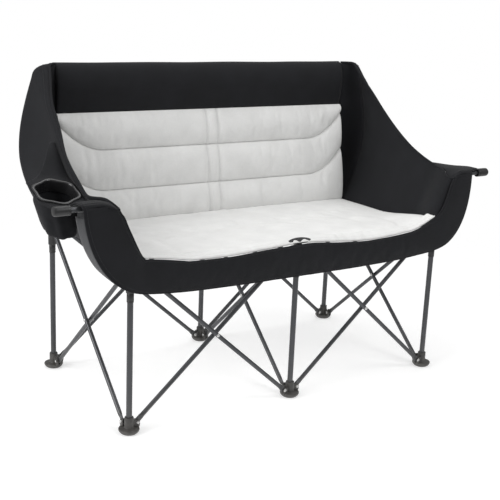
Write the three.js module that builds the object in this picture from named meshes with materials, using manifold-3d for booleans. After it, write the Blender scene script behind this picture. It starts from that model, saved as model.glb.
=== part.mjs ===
// Folding two-seat camping chair: six telescoping legs joined by crossed bars carry a padded fabric seat.
// Millimetres, +Z up, floor at z = 0, the sitter faces -Y, origin on the floor at the middle of the chair.
import * as THREE from 'three';
import { mergeVertices } from 'three/addons/utils/BufferGeometryUtils.js';
import Module from 'manifold-3d';

const wasm = await Module();
wasm.setup();

// Frame grid
const bay = 550; // spacing of neighbouring legs, across and front to back
const footPivotHeight = 26;
const hubPivotHeight = 468.5;
const pivotOffset = 26; // leg axis to the pivots of its bars
const clearance = 0.3; // between pieces that fit or touch
const washerGap = 0.5; // beside a bar on its pivot

// Tubes
const postDiameter = 17;
const postWall = 1.1;
const postDrop = 58.5; // top of a leg post below the hub pivots
const collarDiameter = 20;
const collarLength = 25;
const upperTubeWall = 1.1;
const upperTubeBottom = 60;
const barDiameter = 13;
const barWall = 1;

// Pivots and rivets
const pinDiameter = 5;
const headDiameter = 11;
const headThickness = 2.2;
const rivetDiameter = 5.6;
const tabThickness = 5;
const tabRadius = 8;
const tabLength = 14; // pivot to the end of the flat part of the bar
const tabTaper = 12; // length over which the flattened end turns round

// Plastic feet and hubs
const footDiameter = 60;
const footBaseThickness = 15;
const footTaper = 8; // how far the underside is drawn in, and the height of that slope
const footEdge = 3;
const footBossDiameter = 26;
const footBossTop = 48;
const socketFloor = 7;
const hubDiameter = 25;
const hubRise = 21; // hub top above its pivots
const ribThickness = 8;
const ribEndRadius = 7;

// Arms
const armRise = 184.5; // arm tube axis above the hub pivots
const armBendRadius = 150;
const armReach = 204; // end of the arm tube beyond its leg
const capDiameter = 27;
const capLength = 46;
const capDepth = 32; // arm tube inside its cap
const armrestThickness = 9.3;
const armrestRearInset = 215; // rear legs to the end of the armrest
const armrestPanelGap = 3;
const armrestTipWidth = 12; // of the strip where it ends at the rear
const armFrontThickness = 14;
const armFrontInset = 38; // outer edge of the arm's front behind the arm cap, at the top
const armFrontFlare = 60; // how far the lower curve of the front swings out past the leg
const armFrontSweep = 14; // how far that curve climbs over the same stretch
const armFrontLean = 8; // lean of the front's outer edge where it nears the top
const armFrontShoulder = 25; // height of that stretch above the front band
const armInnerFlare = 48; // inner edge of the arm's front beyond the leg, at the top
const armInnerCurve = 1.4; // power of the curve by which that edge leans out
const gussetDepth = 36; // strip that runs back from the outer edge of the arm's front
const gussetThickness = 3;
const gussetFrom = 0.36; // shares of that edge, from below, where the strip starts and ends
const gussetTo = 0.9;

// Seat and back
const seatLift = 1; // seat pad above the bar ends
const seatThickness = 18;
const padInset = 8; // leg axis to the sides of the seat and back pads
const padSwell = 0.35; // power of the curve by which pads swell from their edges
const padEdge = 0.4; // thickness left at a drawn-in edge
const seatRearGap = 4;
const backLean = 88; // rear legs to the foot of the back pad
const backPadThickness = 30;
const channelDepth = 0.55; // share of the thickness drawn in by a sewn line
const middleSeamDepth = 0.33; // the same for the middle seams
const backRise = 505; // top of the back above the hub pivots
const headBandDepth = 152;
const headBandThickness = 34;
const headBandTopThickness = 14;
const headBandLipThickness = 6;
const headBandLipDepth = 33;
const headBandEdge = 0.35; // thickness left at its upper and lower edges
const headBandEnd = 0.7; // thickness left at its two ends
const backCoverThickness = 4;
const backCoverSlack = 7; // how far the cover bellies out between legs
const backCoverBottom = 20; // above the hubs
const backCoverOverhang = 14; // sides of the cover beyond the corner legs
const sewnLineHeights = [103, 228]; // above the foot of the back pad
const sewnLineLift = 85; // how far a sewn line climbs at the sides
const sewnLineBend = 150; // width over which it climbs
const sewnLineWidth = 26;
const middleSeamHalfGap = 22;
const frontBandThickness = 12;
const frontBandDrop = 76.5; // lower edge below the hub pivots
const frontBandEndRise = 15; // how much its lower edge climbs towards the arms
const frontBandEndInset = 35; // leg axis to the end of the band

// Side panels
const panelThickness = 8;
const panelTopFlare = 84; // top of the panel beyond the corner legs, at the front
const panelBackFlare = 55; // top of the panel beyond the corner legs, at the rear
const panelBulge = 110;
const panelBulgeSkew = 0.83;
const panelBulgeReach = 0.75; // share of the panel's run, from the rear, that bulges
const panelBulgeFade = 1.5;
const panelCornerShare = 0.14; // share of the panel's run that turns the rear corner
const wingFrontInset = 65; // front legs to where the panel's top edge starts to climb
const panelTuckShare = 0.2; // share of the panel's run that turns in to the arm's front
const wingShoulder = 27; // how far the panel's top stays level from its rear edge
const wingCurve = 1.62;

// Cup holder on the left arm
const cupOffset = 140; // beyond the corner legs
const cupSetback = 165; // behind the front legs
const cupTilt = 20; // degrees by which the holder and the armrest around it slope up to the rear
const cupSink = 5; // middle of the holder below the top of the arm
const cupFlangeRadius = 64;
const cupFlangeThickness = 4;
const cupRingRadius = 57;
const cupRingWall = 3.5;
const cupRingDepth = 30;
const cupNotchWidth = 60;
const cupNotchHeight = 18;
const pouchWall = 2.5;
const pouchDepth = 112;
const pouchBottomRadius = 42;
const pouchFoldDepth = 2;
const pouchFolds = 7;

// Sewn tab at the front of the seat
const seatTabLength = 64;
const seatTabWidth = 22;
const seatTabThickness = 2;

// Places that follow from the sizes above
const rowY = bay / 2;
const tubeRadius = postDiameter / 2 - postWall - clearance;
const pinReach = ribThickness / 2 + washerGap + tabThickness + washerGap;
const barSide = Math.max(pinReach - washerGap - tabThickness / 2, barDiameter / 2 + washerGap);
const barHeight = hubPivotHeight - footPivotHeight;
const barSpan = bay - 2 * pivotOffset;
const barLength = Math.hypot(barSpan, barHeight);
const postTop = hubPivotHeight - postDrop;
const hubBottom = postTop + clearance;
const hubTop = hubPivotHeight + hubRise;
const armTubeHeight = hubPivotHeight + armRise;
const armrestBottom = armTubeHeight + tubeRadius + clearance;
const armTop = armrestBottom + armrestThickness;
const backTop = hubPivotHeight + backRise;
const rearTubeTop = backTop - headBandTopThickness - clearance;
const headBandBottom = backTop - headBandDepth;
const seatBottom = hubPivotHeight + tabRadius + seatLift;
const padHalfWidth = bay - padInset;
const hubRear = -rowY + hubDiameter / 2 + clearance;
const padFootY = rowY - backLean;
const seatRear = padFootY + backPadThickness * (1 - padEdge) - seatRearGap;
const tubeFrontY = rowY - tubeRadius - clearance;
const tubeRearY = rowY + tubeRadius + clearance;
const frameReach = Math.max(hubDiameter / 2, pinReach + headThickness, barSide + barDiameter / 2);
const bandRearY = -rowY - frameReach - clearance;
const bandEnd = bay - frontBandEndInset;
const bandBottom = hubPivotHeight - frontBandDrop;
const bandTop = hubTop;
const armOuter = bay + armReach - capDepth - clearance;
const cupX = -(bay + cupOffset);
const cupY = -rowY + cupSetback;

// Facets of round pieces
const tubeSides = 12;
const barSides = 8;
const plasticSides = tubeSides;
const smallSides = 8;
const cupSides = 20;
const armSteps = 10;
const backPadCells = [22, 16];
const seatPadCells = [14, 5];
const bandCells = [14, 3];
const panelCells = [14, 7];
const coverCells = [12, 4];
const stripCells = [16, 3];
const armFrontCells = [8, 2];
const headBandCells = [10, 6];

const steel = new THREE.MeshStandardMaterial({ color: 0x4a4c4f, roughness: 0.45, metalness: 0.7 });
const rivetSteel = new THREE.MeshStandardMaterial({ color: 0xb9bbbd, roughness: 0.3, metalness: 0.9 });
const plastic = new THREE.MeshStandardMaterial({ color: 0x17181a, roughness: 0.5, metalness: 0 });
const darkFabric = new THREE.MeshStandardMaterial({ color: 0x25262a, roughness: 0.9, metalness: 0 });
const lightFabric = new THREE.MeshStandardMaterial({ color: 0xd6d5d1, roughness: 0.95, metalness: 0 });

const legPlaces = {
  rear_middle: [0, rowY],
  rear_left: [-bay, rowY],
  rear_right: [bay, rowY],
  front_middle: [0, -rowY],
  front_left: [-bay, -rowY],
  front_right: [bay, -rowY],
};

// Each pair of crossed bars joins two neighbouring legs
const barPairs = {
  middle: ['rear_middle', 'front_middle'],
  rear_left: ['rear_middle', 'rear_left'],
  rear_right: ['rear_middle', 'rear_right'],
  front_left: ['front_middle', 'front_left'],
  front_right: ['front_middle', 'front_right'],
  side_left: ['rear_left', 'front_left'],
  side_right: ['rear_right', 'front_right'],
};

const up = new THREE.Vector3(0, 0, 1);

// Mesh helpers

function signedVolume(positions, triangles) {
  let volume = 0;
  const a = new THREE.Vector3();
  const b = new THREE.Vector3();
  const c = new THREE.Vector3();
  for (let t = 0; t < triangles.length; t += 3) {
    a.fromArray(positions, 3 * triangles[t]);
    b.fromArray(positions, 3 * triangles[t + 1]);
    c.fromArray(positions, 3 * triangles[t + 2]);
    volume += a.dot(b.cross(c)) / 6;
  }
  return volume;
}

function closedGeometry(positions, triangles) {
  const facingOut = signedVolume(positions, triangles) > 0;
  const ordered = [];
  for (let t = 0; t < triangles.length; t += 3) {
    const [a, b, c] = [triangles[t], triangles[t + 1], triangles[t + 2]];
    const flat = a === b || b === c || c === a;
    if (!flat) ordered.push(...(facingOut ? [a, b, c] : [a, c, b]));
  }
  const geometry = new THREE.BufferGeometry();
  geometry.setAttribute('position', new THREE.Float32BufferAttribute(positions, 3));
  geometry.setIndex(ordered);
  geometry.computeVertexNormals();
  return geometry;
}

function welded(geometry) {
  const bare = geometry.clone();
  bare.deleteAttribute('normal');
  bare.deleteAttribute('uv');
  const merged = mergeVertices(bare, 1e-3);
  return closedGeometry(Array.from(merged.attributes.position.array), Array.from(merged.index.array));
}

function toSolid(geometry) {
  return new wasm.Manifold(new wasm.Mesh({
    numProp: 3,
    vertProperties: Float32Array.from(geometry.attributes.position.array),
    triVerts: Uint32Array.from(geometry.index.array),
  }));
}

function toGeometry(solid) {
  const mesh = solid.getMesh();
  return closedGeometry(Array.from(mesh.vertProperties), Array.from(mesh.triVerts));
}

function turned(profile, sides) {
  const points = profile.map(([radius, height]) => new THREE.Vector2(radius, height));
  return welded(new THREE.LatheGeometry(points, sides).rotateX(Math.PI / 2));
}

function ring(inner, outer, bottom, top, sides) {
  return turned([[inner, bottom], [outer, bottom], [outer, top], [inner, top], [inner, bottom]], sides);
}

function disc(radius, bottom, top, sides) {
  return turned([[0, bottom], [radius, bottom], [radius, top], [0, top]], sides);
}

// Solid between two grids of points that share their outline
function gridSolid(columns, rows, frontAt, backAt) {
  const positions = [];
  for (const pointAt of [frontAt, backAt]) {
    for (let i = 0; i <= columns; i += 1) {
      for (let j = 0; j <= rows; j += 1) positions.push(...pointAt(i / columns, j / rows));
    }
  }
  const backStart = (columns + 1) * (rows + 1);
  const front = (i, j) => i * (rows + 1) + j;
  const back = (i, j) => backStart + front(i, j);
  const triangles = [];
  const quad = (a, b, c, d) => triangles.push(a, b, c, a, c, d);
  for (let i = 0; i < columns; i += 1) {
    for (let j = 0; j < rows; j += 1) {
      quad(front(i, j), front(i + 1, j), front(i + 1, j + 1), front(i, j + 1));
      quad(back(i, j), back(i, j + 1), back(i + 1, j + 1), back(i + 1, j));
    }
    quad(front(i, 0), back(i, 0), back(i + 1, 0), front(i + 1, 0));
    quad(front(i, rows), front(i + 1, rows), back(i + 1, rows), back(i, rows));
  }
  for (let j = 0; j < rows; j += 1) {
    quad(front(0, j), front(0, j + 1), back(0, j + 1), back(0, j));
    quad(front(columns, j), back(columns, j), back(columns, j + 1), front(columns, j + 1));
  }
  return closedGeometry(positions, triangles);
}

// Solid through a row of sections in planes of constant x
function loftAlongX(places, sectionAt) {
  const sections = places.map((x) => sectionAt(x));
  const count = sections[0].length;
  const positions = [];
  sections.forEach((section, s) => {
    for (const point of section) positions.push(places[s], point.x, point.y);
  });
  const triangles = [];
  for (let s = 0; s + 1 < sections.length; s += 1) {
    for (let k = 0; k < count; k += 1) {
      const next = (k + 1) % count;
      const [a, b, c, d] = [s * count + k, s * count + next, (s + 1) * count + next, (s + 1) * count + k];
      triangles.push(a, b, c, a, c, d);
    }
  }
  const lastStart = (sections.length - 1) * count;
  const outline = sections[0];
  for (const face of THREE.ShapeUtils.triangulateShape(outline, [])) {
    const alike = THREE.ShapeUtils.area(face.map((k) => outline[k])) * THREE.ShapeUtils.area(outline) > 0;
    const [a, b, c] = alike ? face : face.toReversed();
    triangles.push(a, c, b, lastStart + a, lastStart + b, lastStart + c);
  }
  return closedGeometry(positions, triangles);
}

function spaced(from, to, count) {
  return Array.from({ length: count + 1 }, (unused, i) => THREE.MathUtils.lerp(from, to, i / count));
}

const chair = new THREE.Group();

function addPiece(name, geometry, material) {
  const mesh = new THREE.Mesh(geometry, material);
  mesh.name = name;
  chair.add(mesh);
  return mesh;
}

// Pivots of each leg: the way its bar leaves and the side of the rib that the bar lies on

function pairFrame(pair) {
  const [near, far] = barPairs[pair].map((leg) => new THREE.Vector3(...legPlaces[leg], 0));
  const along = far.clone().sub(near).normalize();
  const side = up.clone().cross(along);
  return { near, far, along, side };
}

function pivotsOf(leg, atHub) {
  const pivots = [];
  for (const pair of Object.keys(barPairs)) {
    const [nearName, farName] = barPairs[pair];
    if (leg !== nearName && leg !== farName) continue;
    const { along, side } = pairFrame(pair);
    const isNear = leg === nearName;
    const firstBarEnds = isNear !== atHub;
    pivots.push({
      out: along.clone().multiplyScalar(isNear ? 1 : -1),
      side: side.clone().multiplyScalar(firstBarEnds ? 1 : -1),
    });
  }
  return pivots;
}

// Plate from the leg to one pivot, in the plane of the bars
function ribSolid(out, height, bottom, start) {
  const outline = new THREE.Shape();
  outline.moveTo(start, bottom);
  outline.lineTo(pivotOffset + ribEndRadius, bottom);
  outline.lineTo(pivotOffset + ribEndRadius, height);
  outline.absarc(pivotOffset, height, ribEndRadius, 0, Math.PI / 2, false);
  outline.lineTo(start, height + ribEndRadius);
  const options = { depth: ribThickness, bevelEnabled: false, curveSegments: 2 };
  const plate = new THREE.ExtrudeGeometry(outline, options);
  plate.translate(0, 0, -ribThickness / 2);
  plate.applyMatrix4(new THREE.Matrix4().makeBasis(out, up, out.clone().cross(up)));
  return toSolid(welded(plate));
}

// Headed pin, fast in its rib
function pinSolid(out, side, height) {
  const pin = turned([
    [0, 0],
    [pinDiameter / 2, 0],
    [pinDiameter / 2, pinReach],
    [headDiameter / 2, pinReach],
    [headDiameter / 2, pinReach + headThickness],
    [0, pinReach + headThickness],
  ], smallSides);
  pin.applyMatrix4(new THREE.Matrix4().makeBasis(up.clone().cross(side), up, side));
  pin.translate(out.x * pivotOffset, out.y * pivotOffset, height);
  return toSolid(welded(pin));
}

function withPivots(body, leg, atHub, height, ribBottom, ribStart) {
  return pivotsOf(leg, atHub).reduce((solid, { out, side }) => solid
    .add(ribSolid(out, height, ribBottom, ribStart))
    .add(pinSolid(out, side, height)), body);
}

// Legs

function footGeometry(leg) {
  const socketRadius = postDiameter / 2 + clearance;
  const base = turned([
    [0, 0],
    [footDiameter / 2 - footTaper, 0],
    [footDiameter / 2, footTaper],
    [footDiameter / 2, footBaseThickness - footEdge],
    [footDiameter / 2 - footEdge, footBaseThickness],
    [footBossDiameter / 2, footBaseThickness],
    [footBossDiameter / 2, footBossTop],
    [socketRadius, footBossTop],
    [socketRadius, socketFloor],
    [0, socketFloor],
  ], plasticSides);
  const ribStart = (socketRadius + footBossDiameter / 2) / 2;
  const foot = withPivots(toSolid(base), leg, false, footPivotHeight, footBaseThickness - 1, ribStart);
  return toGeometry(foot);
}

function postGeometry() {
  const outer = postDiameter / 2;
  const inner = outer - postWall;
  const bottom = socketFloor + clearance;
  return turned([
    [inner, bottom],
    [outer, bottom],
    [outer, postTop - collarLength],
    [collarDiameter / 2, postTop - collarLength],
    [collarDiameter / 2, postTop],
    [inner, postTop],
    [inner, bottom],
  ], tubeSides);
}

function hubGeometry(leg) {
  const bore = tubeRadius + clearance;
  const sleeve = ring(bore, hubDiameter / 2, hubBottom, hubTop, plasticSides);
  const ribStart = (bore + hubDiameter / 2) / 2;
  const ribBottom = hubPivotHeight - 2 * ribEndRadius;
  return toGeometry(withPivots(toSolid(sleeve), leg, true, hubPivotHeight, ribBottom, ribStart));
}

// Centre line of an arm tube: up the leg, round a bend and straight out
class ArmRoute extends THREE.Curve {
  constructor(outward) {
    super();
    this.outward = outward;
  }

  getPoint(t) {
    const bendStart = 0.1;
    const bendEnd = 0.9;
    const straightTop = armTubeHeight - armBendRadius;
    if (t < bendStart) {
      return new THREE.Vector3(0, 0, THREE.MathUtils.lerp(upperTubeBottom, straightTop, t / bendStart));
    }
    if (t > bendEnd) {
      const reach = THREE.MathUtils.lerp(armBendRadius, armReach, (t - bendEnd) / (1 - bendEnd));
      return new THREE.Vector3(this.outward * reach, 0, armTubeHeight);
    }
    const turn = ((t - bendStart) / (bendEnd - bendStart)) * (Math.PI / 2);
    const reach = armBendRadius * (1 - Math.cos(turn));
    return new THREE.Vector3(this.outward * reach, 0, straightTop + armBendRadius * Math.sin(turn));
  }

  getPointAt(u) {
    return this.getPoint(u);
  }

  getTangentAt(u) {
    return this.getTangent(u);
  }
}

function armTubeGeometry(outward) {
  const section = new THREE.Shape();
  section.absarc(0, 0, tubeRadius, 0, 2 * Math.PI, false);
  const bore = new THREE.Path();
  bore.absarc(0, 0, tubeRadius - upperTubeWall, 0, 2 * Math.PI, true);
  section.holes.push(bore);
  const options = { extrudePath: new ArmRoute(outward), steps: armSteps, curveSegments: tubeSides / 2 };
  return welded(new THREE.ExtrudeGeometry(section, options));
}

function upperTubeGeometry(leg) {
  if (leg === 'front_left') return armTubeGeometry(-1);
  if (leg === 'front_right') return armTubeGeometry(1);
  const top = leg === 'front_middle' ? hubTop : rearTubeTop;
  return ring(tubeRadius - upperTubeWall, tubeRadius, upperTubeBottom, top, tubeSides);
}

for (const [leg, [x, y]] of Object.entries(legPlaces)) {
  addPiece(`foot_${leg}`, footGeometry(leg), plastic).position.set(x, y, 0);
  addPiece(`leg_post_${leg}`, postGeometry(), steel).position.set(x, y, 0);
  addPiece(`hub_${leg}`, hubGeometry(leg), plastic).position.set(x, y, 0);
  addPiece(`upper_tube_${leg}`, upperTubeGeometry(leg), steel).position.set(x, y, 0);
}

// Crossed bars: round tubes with flattened ends, along +Z from the lower pivot, pins along +Y

function barGeometry() {
  const flatCorner = 0.7;
  const tabRounding = 0.9;
  const roundStart = tabLength + tabTaper;
  const widthAt = (fromEnd) => {
    if (fromEnd > 0) return tabRadius;
    return tabRadius * Math.sqrt(1 - tabRounding * (fromEnd / tabRadius) ** 2);
  };
  const sectionAt = (place) => {
    const fromEnd = Math.min(place, barLength - place);
    if (fromEnd >= roundStart) {
      return spaced(0, 1, barSides).slice(0, -1).map((share) => {
        const angle = 2 * Math.PI * (share + 0.5 / barSides);
        return new THREE.Vector2(Math.cos(angle), Math.sin(angle)).multiplyScalar(barDiameter / 2);
      });
    }
    const [half, wide] = [tabThickness / 2, widthAt(fromEnd)];
    const corners = [[1, flatCorner], [flatCorner, 1], [-flatCorner, 1], [-1, flatCorner]];
    const upper = corners.map(([across, along]) => new THREE.Vector2(half * across, wide * along));
    return [...upper, ...upper.map((corner) => corner.clone().negate())];
  };
  const lowerEnd = [-tabRadius, -tabRadius / 2, 0, tabLength, roundStart];
  const upperEnd = lowerEnd.map((place) => barLength - place).reverse();
  const outer = loftAlongX([...lowerEnd, ...upperEnd], sectionAt).rotateY(-Math.PI / 2);
  const hollow = disc(barDiameter / 2 - barWall, roundStart, barLength - roundStart, barSides);
  hollow.rotateZ(Math.PI / barSides);
  const drill = (radius, height) => {
    const hole = disc(radius, -barDiameter, barDiameter, smallSides).rotateX(Math.PI / 2);
    return toSolid(welded(hole.translate(0, 0, height)));
  };
  const pinHole = pinDiameter / 2 + clearance;
  return toGeometry(toSolid(welded(outer))
    .subtract(toSolid(hollow))
    .subtract(drill(pinHole, 0))
    .subtract(drill(pinHole, barLength))
    .subtract(drill(rivetDiameter / 2 + clearance, barLength / 2)));
}

function crossRivetGeometry() {
  const seat = barSide + barDiameter / 2 + clearance;
  return turned([
    [0, -seat - headThickness],
    [headDiameter / 2, -seat - headThickness],
    [headDiameter / 2, -seat],
    [rivetDiameter / 2, -seat],
    [rivetDiameter / 2, seat],
    [headDiameter / 2, seat],
    [headDiameter / 2, seat + headThickness],
    [0, seat + headThickness],
  ], smallSides);
}

function placeBar(mesh, foot, towards, side) {
  const direction = towards.clone().multiplyScalar(barSpan).addScaledVector(up, barHeight).normalize();
  const basis = new THREE.Matrix4().makeBasis(side.clone().cross(direction), side, direction);
  mesh.quaternion.setFromRotationMatrix(basis);
  mesh.position.copy(foot).addScaledVector(towards, pivotOffset).addScaledVector(up, footPivotHeight);
}

for (const pair of Object.keys(barPairs)) {
  const { near, far, along, side } = pairFrame(pair);
  const offset = side.clone().multiplyScalar(barSide);
  const first = addPiece(`cross_bar_${pair}_first`, barGeometry(), steel);
  placeBar(first, near.clone().add(offset), along, side);
  const second = addPiece(`cross_bar_${pair}_second`, barGeometry(), steel);
  placeBar(second, far.clone().sub(offset), along.clone().negate(), side);
  const rivet = addPiece(`cross_rivet_${pair}`, crossRivetGeometry(), rivetSteel);
  rivet.quaternion.setFromUnitVectors(up, side);
  rivet.position.copy(near).lerp(far, 0.5).addScaledVector(up, (footPivotHeight + hubPivotHeight) / 2);
}

// Caps on the arm tubes

function armCapGeometry(outward) {
  const bore = tubeRadius + clearance;
  const start = armReach - capDepth;
  const cap = turned([
    [bore, start],
    [capDiameter / 2, start],
    [capDiameter / 2, start + capLength],
    [0, start + capLength],
    [0, armReach + clearance],
    [bore, armReach + clearance],
    [bore, start],
  ], plasticSides);
  return cap.rotateY(outward * (Math.PI / 2));
}

for (const [name, outward] of [['left', -1], ['right', 1]]) {
  const cap = addPiece(`arm_cap_${name}`, armCapGeometry(outward), plastic);
  cap.position.set(outward * bay, -rowY, armTubeHeight);
}

// Padded surfaces swell quickly from their drawn-in edges
function swell(share) {
  return Math.sin(Math.PI * THREE.MathUtils.clamp(share, 0, 1)) ** padSwell;
}

function crown(across, along) {
  return padEdge + (1 - padEdge) * swell(across) * swell(along);
}

// Back pad: leans from the seat up to the head band, quilted by curved lines and a double middle seam

const padFoot = seatBottom;
const padTop = headBandBottom - clearance;

function sewnLine(x, height) {
  const climb = Math.max(0, (Math.abs(x) - (padHalfWidth - sewnLineBend)) / sewnLineBend);
  return padFoot + height + sewnLineLift * climb ** 2;
}

function backPadGeometry() {
  const rearFoot = padFootY + backPadThickness;
  const groove = (distance) => Math.exp(-((distance / (sewnLineWidth / 2)) ** 2));
  const rearAt = (z) => THREE.MathUtils.mapLinear(z, padFoot, padTop, rearFoot, tubeFrontY);
  const place = (u, v) => {
    const x = THREE.MathUtils.lerp(-padHalfWidth, padHalfWidth, u);
    return [x, THREE.MathUtils.lerp(padFoot, padTop, v)];
  };
  const frontAt = (u, v) => {
    const [x, z] = place(u, v);
    const lines = sewnLineHeights.map((height) => groove(z - sewnLine(x, height)));
    const seams = groove(Math.abs(x) - middleSeamHalfGap);
    const drawnIn = Math.max(channelDepth * Math.max(...lines), middleSeamDepth * seams);
    const thickness = backPadThickness * Math.min(crown(u, v), 1 - drawnIn);
    return [x, rearAt(z) - thickness, z];
  };
  const backAt = (u, v) => {
    const [x, z] = place(u, v);
    return [x, rearAt(z), z];
  };
  return gridSolid(...backPadCells, frontAt, backAt);
}

addPiece('back_pad', backPadGeometry(), lightFabric);

// Head band: padded roll in front of the tubes, closed over their tops

function headBandGeometry() {
  const sectionAt = (x) => {
    const endShare = headBandEnd + (1 - headBandEnd) * swell((x + padHalfWidth) / (2 * padHalfWidth));
    const frontTop = backTop - headBandTopThickness / 2;
    const front = spaced(0, 1, headBandCells[1]).map((share) => {
      const roll = headBandEdge + (1 - headBandEdge) * Math.sin(Math.PI * share);
      const y = tubeFrontY - headBandThickness * endShare * roll;
      return new THREE.Vector2(y, THREE.MathUtils.lerp(headBandBottom, frontTop, share));
    });
    return [
      new THREE.Vector2(tubeFrontY, headBandBottom),
      ...front,
      new THREE.Vector2(tubeFrontY, backTop),
      new THREE.Vector2(tubeRearY + headBandLipThickness, backTop - headBandTopThickness / 3),
      new THREE.Vector2(tubeRearY + headBandLipThickness, backTop - headBandLipDepth),
      new THREE.Vector2(tubeRearY, backTop - headBandLipDepth),
      new THREE.Vector2(tubeRearY, rearTubeTop + clearance),
      new THREE.Vector2(tubeFrontY, rearTubeTop + clearance),
    ];
  };
  return loftAlongX(spaced(-padHalfWidth, padHalfWidth, headBandCells[0]), sectionAt);
}

addPiece('head_band', headBandGeometry(), darkFabric);

// Shape of the side panels, which rise from the seat to the arm and, behind it, to the top of the back

const panelRearY = rowY - hubDiameter / 2 - clearance;
const panelFrontY = bandRearY + clearance;
const panelBottom = seatBottom;
const panelFrontTop = armrestBottom + armrestThickness / 2;
const panelRearTop = backTop - headBandTopThickness / 2;
const panelRunCurve = 1.4;

function panelTopEdge(y) {
  const start = -rowY + wingFrontInset;
  const share = THREE.MathUtils.clamp((y - start) / (panelRearY - wingShoulder - start), 0, 1);
  return panelFrontTop + (panelRearTop - panelFrontTop) * share ** wingCurve;
}

// Inner edge of the arm's front, which stays inside the bend of the arm tube
function armInnerEdge(z) {
  const share = THREE.MathUtils.clamp((z - bandTop) / (armTop - bandTop), 0, 1);
  return THREE.MathUtils.lerp(bandEnd + clearance, bay + armInnerFlare, share ** armInnerCurve);
}

// Outer face of a panel, at a share of its run from rear to front and of its height
function panelPoint(run, rise) {
  const forward = run ** panelRunCurve;
  const y = THREE.MathUtils.lerp(panelRearY, panelFrontY, forward);
  const z = THREE.MathUtils.lerp(panelBottom, panelTopEdge(y), rise);
  const foot = padHalfWidth + clearance + panelThickness;
  const rearness = Math.max(0, 1 - run / panelBulgeReach) ** panelBulgeFade;
  const flare = THREE.MathUtils.lerp(panelBackFlare, panelTopFlare, forward);
  const straight = THREE.MathUtils.lerp(foot, bay + flare, rise);
  const bulged = straight + panelBulge * rearness * Math.sin(Math.PI * rise ** panelBulgeSkew);
  const turn = Math.max(0, 1 - run / panelCornerShare);
  const cornered = THREE.MathUtils.lerp(bulged, padHalfWidth + clearance, turn ** 2);
  const tuck = THREE.MathUtils.smoothstep(forward, 1 - panelTuckShare, 1);
  return new THREE.Vector3(THREE.MathUtils.lerp(cornered, armInnerEdge(z) + panelThickness, tuck), y, z);
}

// Seat pads: two halves that meet at the crease across the seat, the front one raised over the hubs

const seatFront = bandRearY + clearance;
const seatCrease = (seatFront + seatRear) / 2;
const hubRamp = 20;

function seatUnderside(y) {
  const share = THREE.MathUtils.clamp((y - hubRear) / hubRamp, 0, 1);
  return THREE.MathUtils.lerp(hubTop + clearance, seatBottom, share);
}

// The seat narrows at the front with the feet of the side panels
function seatHalfWidth(y) {
  const feet = spaced(0, 1, panelCells[0]).map((run) => panelPoint(run, 0));
  const next = Math.max(1, feet.findIndex((foot) => foot.y <= y));
  const share = THREE.MathUtils.inverseLerp(feet[next - 1].y, feet[next].y, y);
  const foot = THREE.MathUtils.lerp(feet[next - 1].x, feet[next].x, share);
  return Math.min(padHalfWidth, foot - panelThickness - clearance);
}

function seatPadGeometry(rows) {
  const [front, rear] = [rows[0], rows.at(-1)];
  const place = (u, v) => {
    const y = rows[Math.round(v * (rows.length - 1))];
    return [seatHalfWidth(y) * (2 * u - 1), y];
  };
  const topAt = (u, v) => {
    const [x, y] = place(u, v);
    return [x, y, seatUnderside(y) + seatThickness * crown(u, (y - front) / (rear - front))];
  };
  const bottomAt = (u, v) => {
    const [x, y] = place(u, v);
    return [x, y, seatUnderside(y)];
  };
  return gridSolid(seatPadCells[0], rows.length - 1, topAt, bottomAt);
}

const flatRows = spaced(hubRear + hubRamp, seatCrease - clearance / 2, seatPadCells[1]);
const frontRows = [seatFront, hubRear, ...flatRows];
addPiece('seat_pad_front', seatPadGeometry(frontRows), lightFabric);
const rearRows = spaced(seatCrease + clearance / 2, seatRear, seatPadCells[1] + 1);
addPiece('seat_pad_rear', seatPadGeometry(rearRows), lightFabric);

// Front band: hangs in front of the hubs from the front edge of the seat

function bandLowerEdge(x) {
  return bandBottom + frontBandEndRise * (Math.abs(x) / bandEnd) ** 4;
}

function frontBandGeometry() {
  const place = (u, v) => {
    const x = THREE.MathUtils.lerp(-bandEnd, bandEnd, u);
    return [x, THREE.MathUtils.lerp(bandLowerEdge(x), bandTop, v)];
  };
  const rearAt = (u, v) => {
    const [x, z] = place(u, v);
    return [x, bandRearY, z];
  };
  const frontAt = (u, v) => {
    const [x, z] = place(u, v);
    return [x, bandRearY - frontBandThickness * crown(0.5, v), z];
  };
  return gridSolid(...bandCells, frontAt, rearAt);
}

addPiece('front_band', frontBandGeometry(), darkFabric);

// Side panels: the inner face is set in by the thickness, round the rear corner too

function sidePanelGeometry(outward) {
  const outerAt = (u, v) => {
    const point = panelPoint(u, v);
    return [outward * point.x, point.y, point.z];
  };
  const innerAt = (u, v) => {
    const point = panelPoint(u, v);
    const turn = (Math.PI / 2) * THREE.MathUtils.clamp(u / panelCornerShare, 0, 1);
    point.x -= panelThickness * Math.sin(turn);
    point.y -= panelThickness * Math.cos(turn);
    return [outward * point.x, point.y, point.z];
  };
  return gridSolid(...panelCells, outerAt, innerAt);
}

// Back cover: one sheet behind the tubes that bellies out between them

function backCoverGeometry() {
  const bottom = hubTop + backCoverBottom;
  const top = backTop - headBandLipDepth - clearance;
  const place = (u, v) => {
    const halfWidth = bay + backCoverOverhang;
    return [THREE.MathUtils.lerp(-halfWidth, halfWidth, u), THREE.MathUtils.lerp(bottom, top, v)];
  };
  const belly = (x, v) => {
    const between = Math.sin((Math.PI * x) / bay) ** 2;
    return backCoverSlack * between * Math.sin(Math.PI * v);
  };
  const frontAt = (u, v) => {
    const [x, z] = place(u, v);
    return [x, tubeRearY + belly(x, v), z];
  };
  const backAt = (u, v) => {
    const [x, z] = place(u, v);
    return [x, tubeRearY + backCoverThickness + belly(x, v), z];
  };
  return gridSolid(...coverCells, frontAt, backAt);
}

addPiece('back_cover', backCoverGeometry(), darkFabric);

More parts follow.
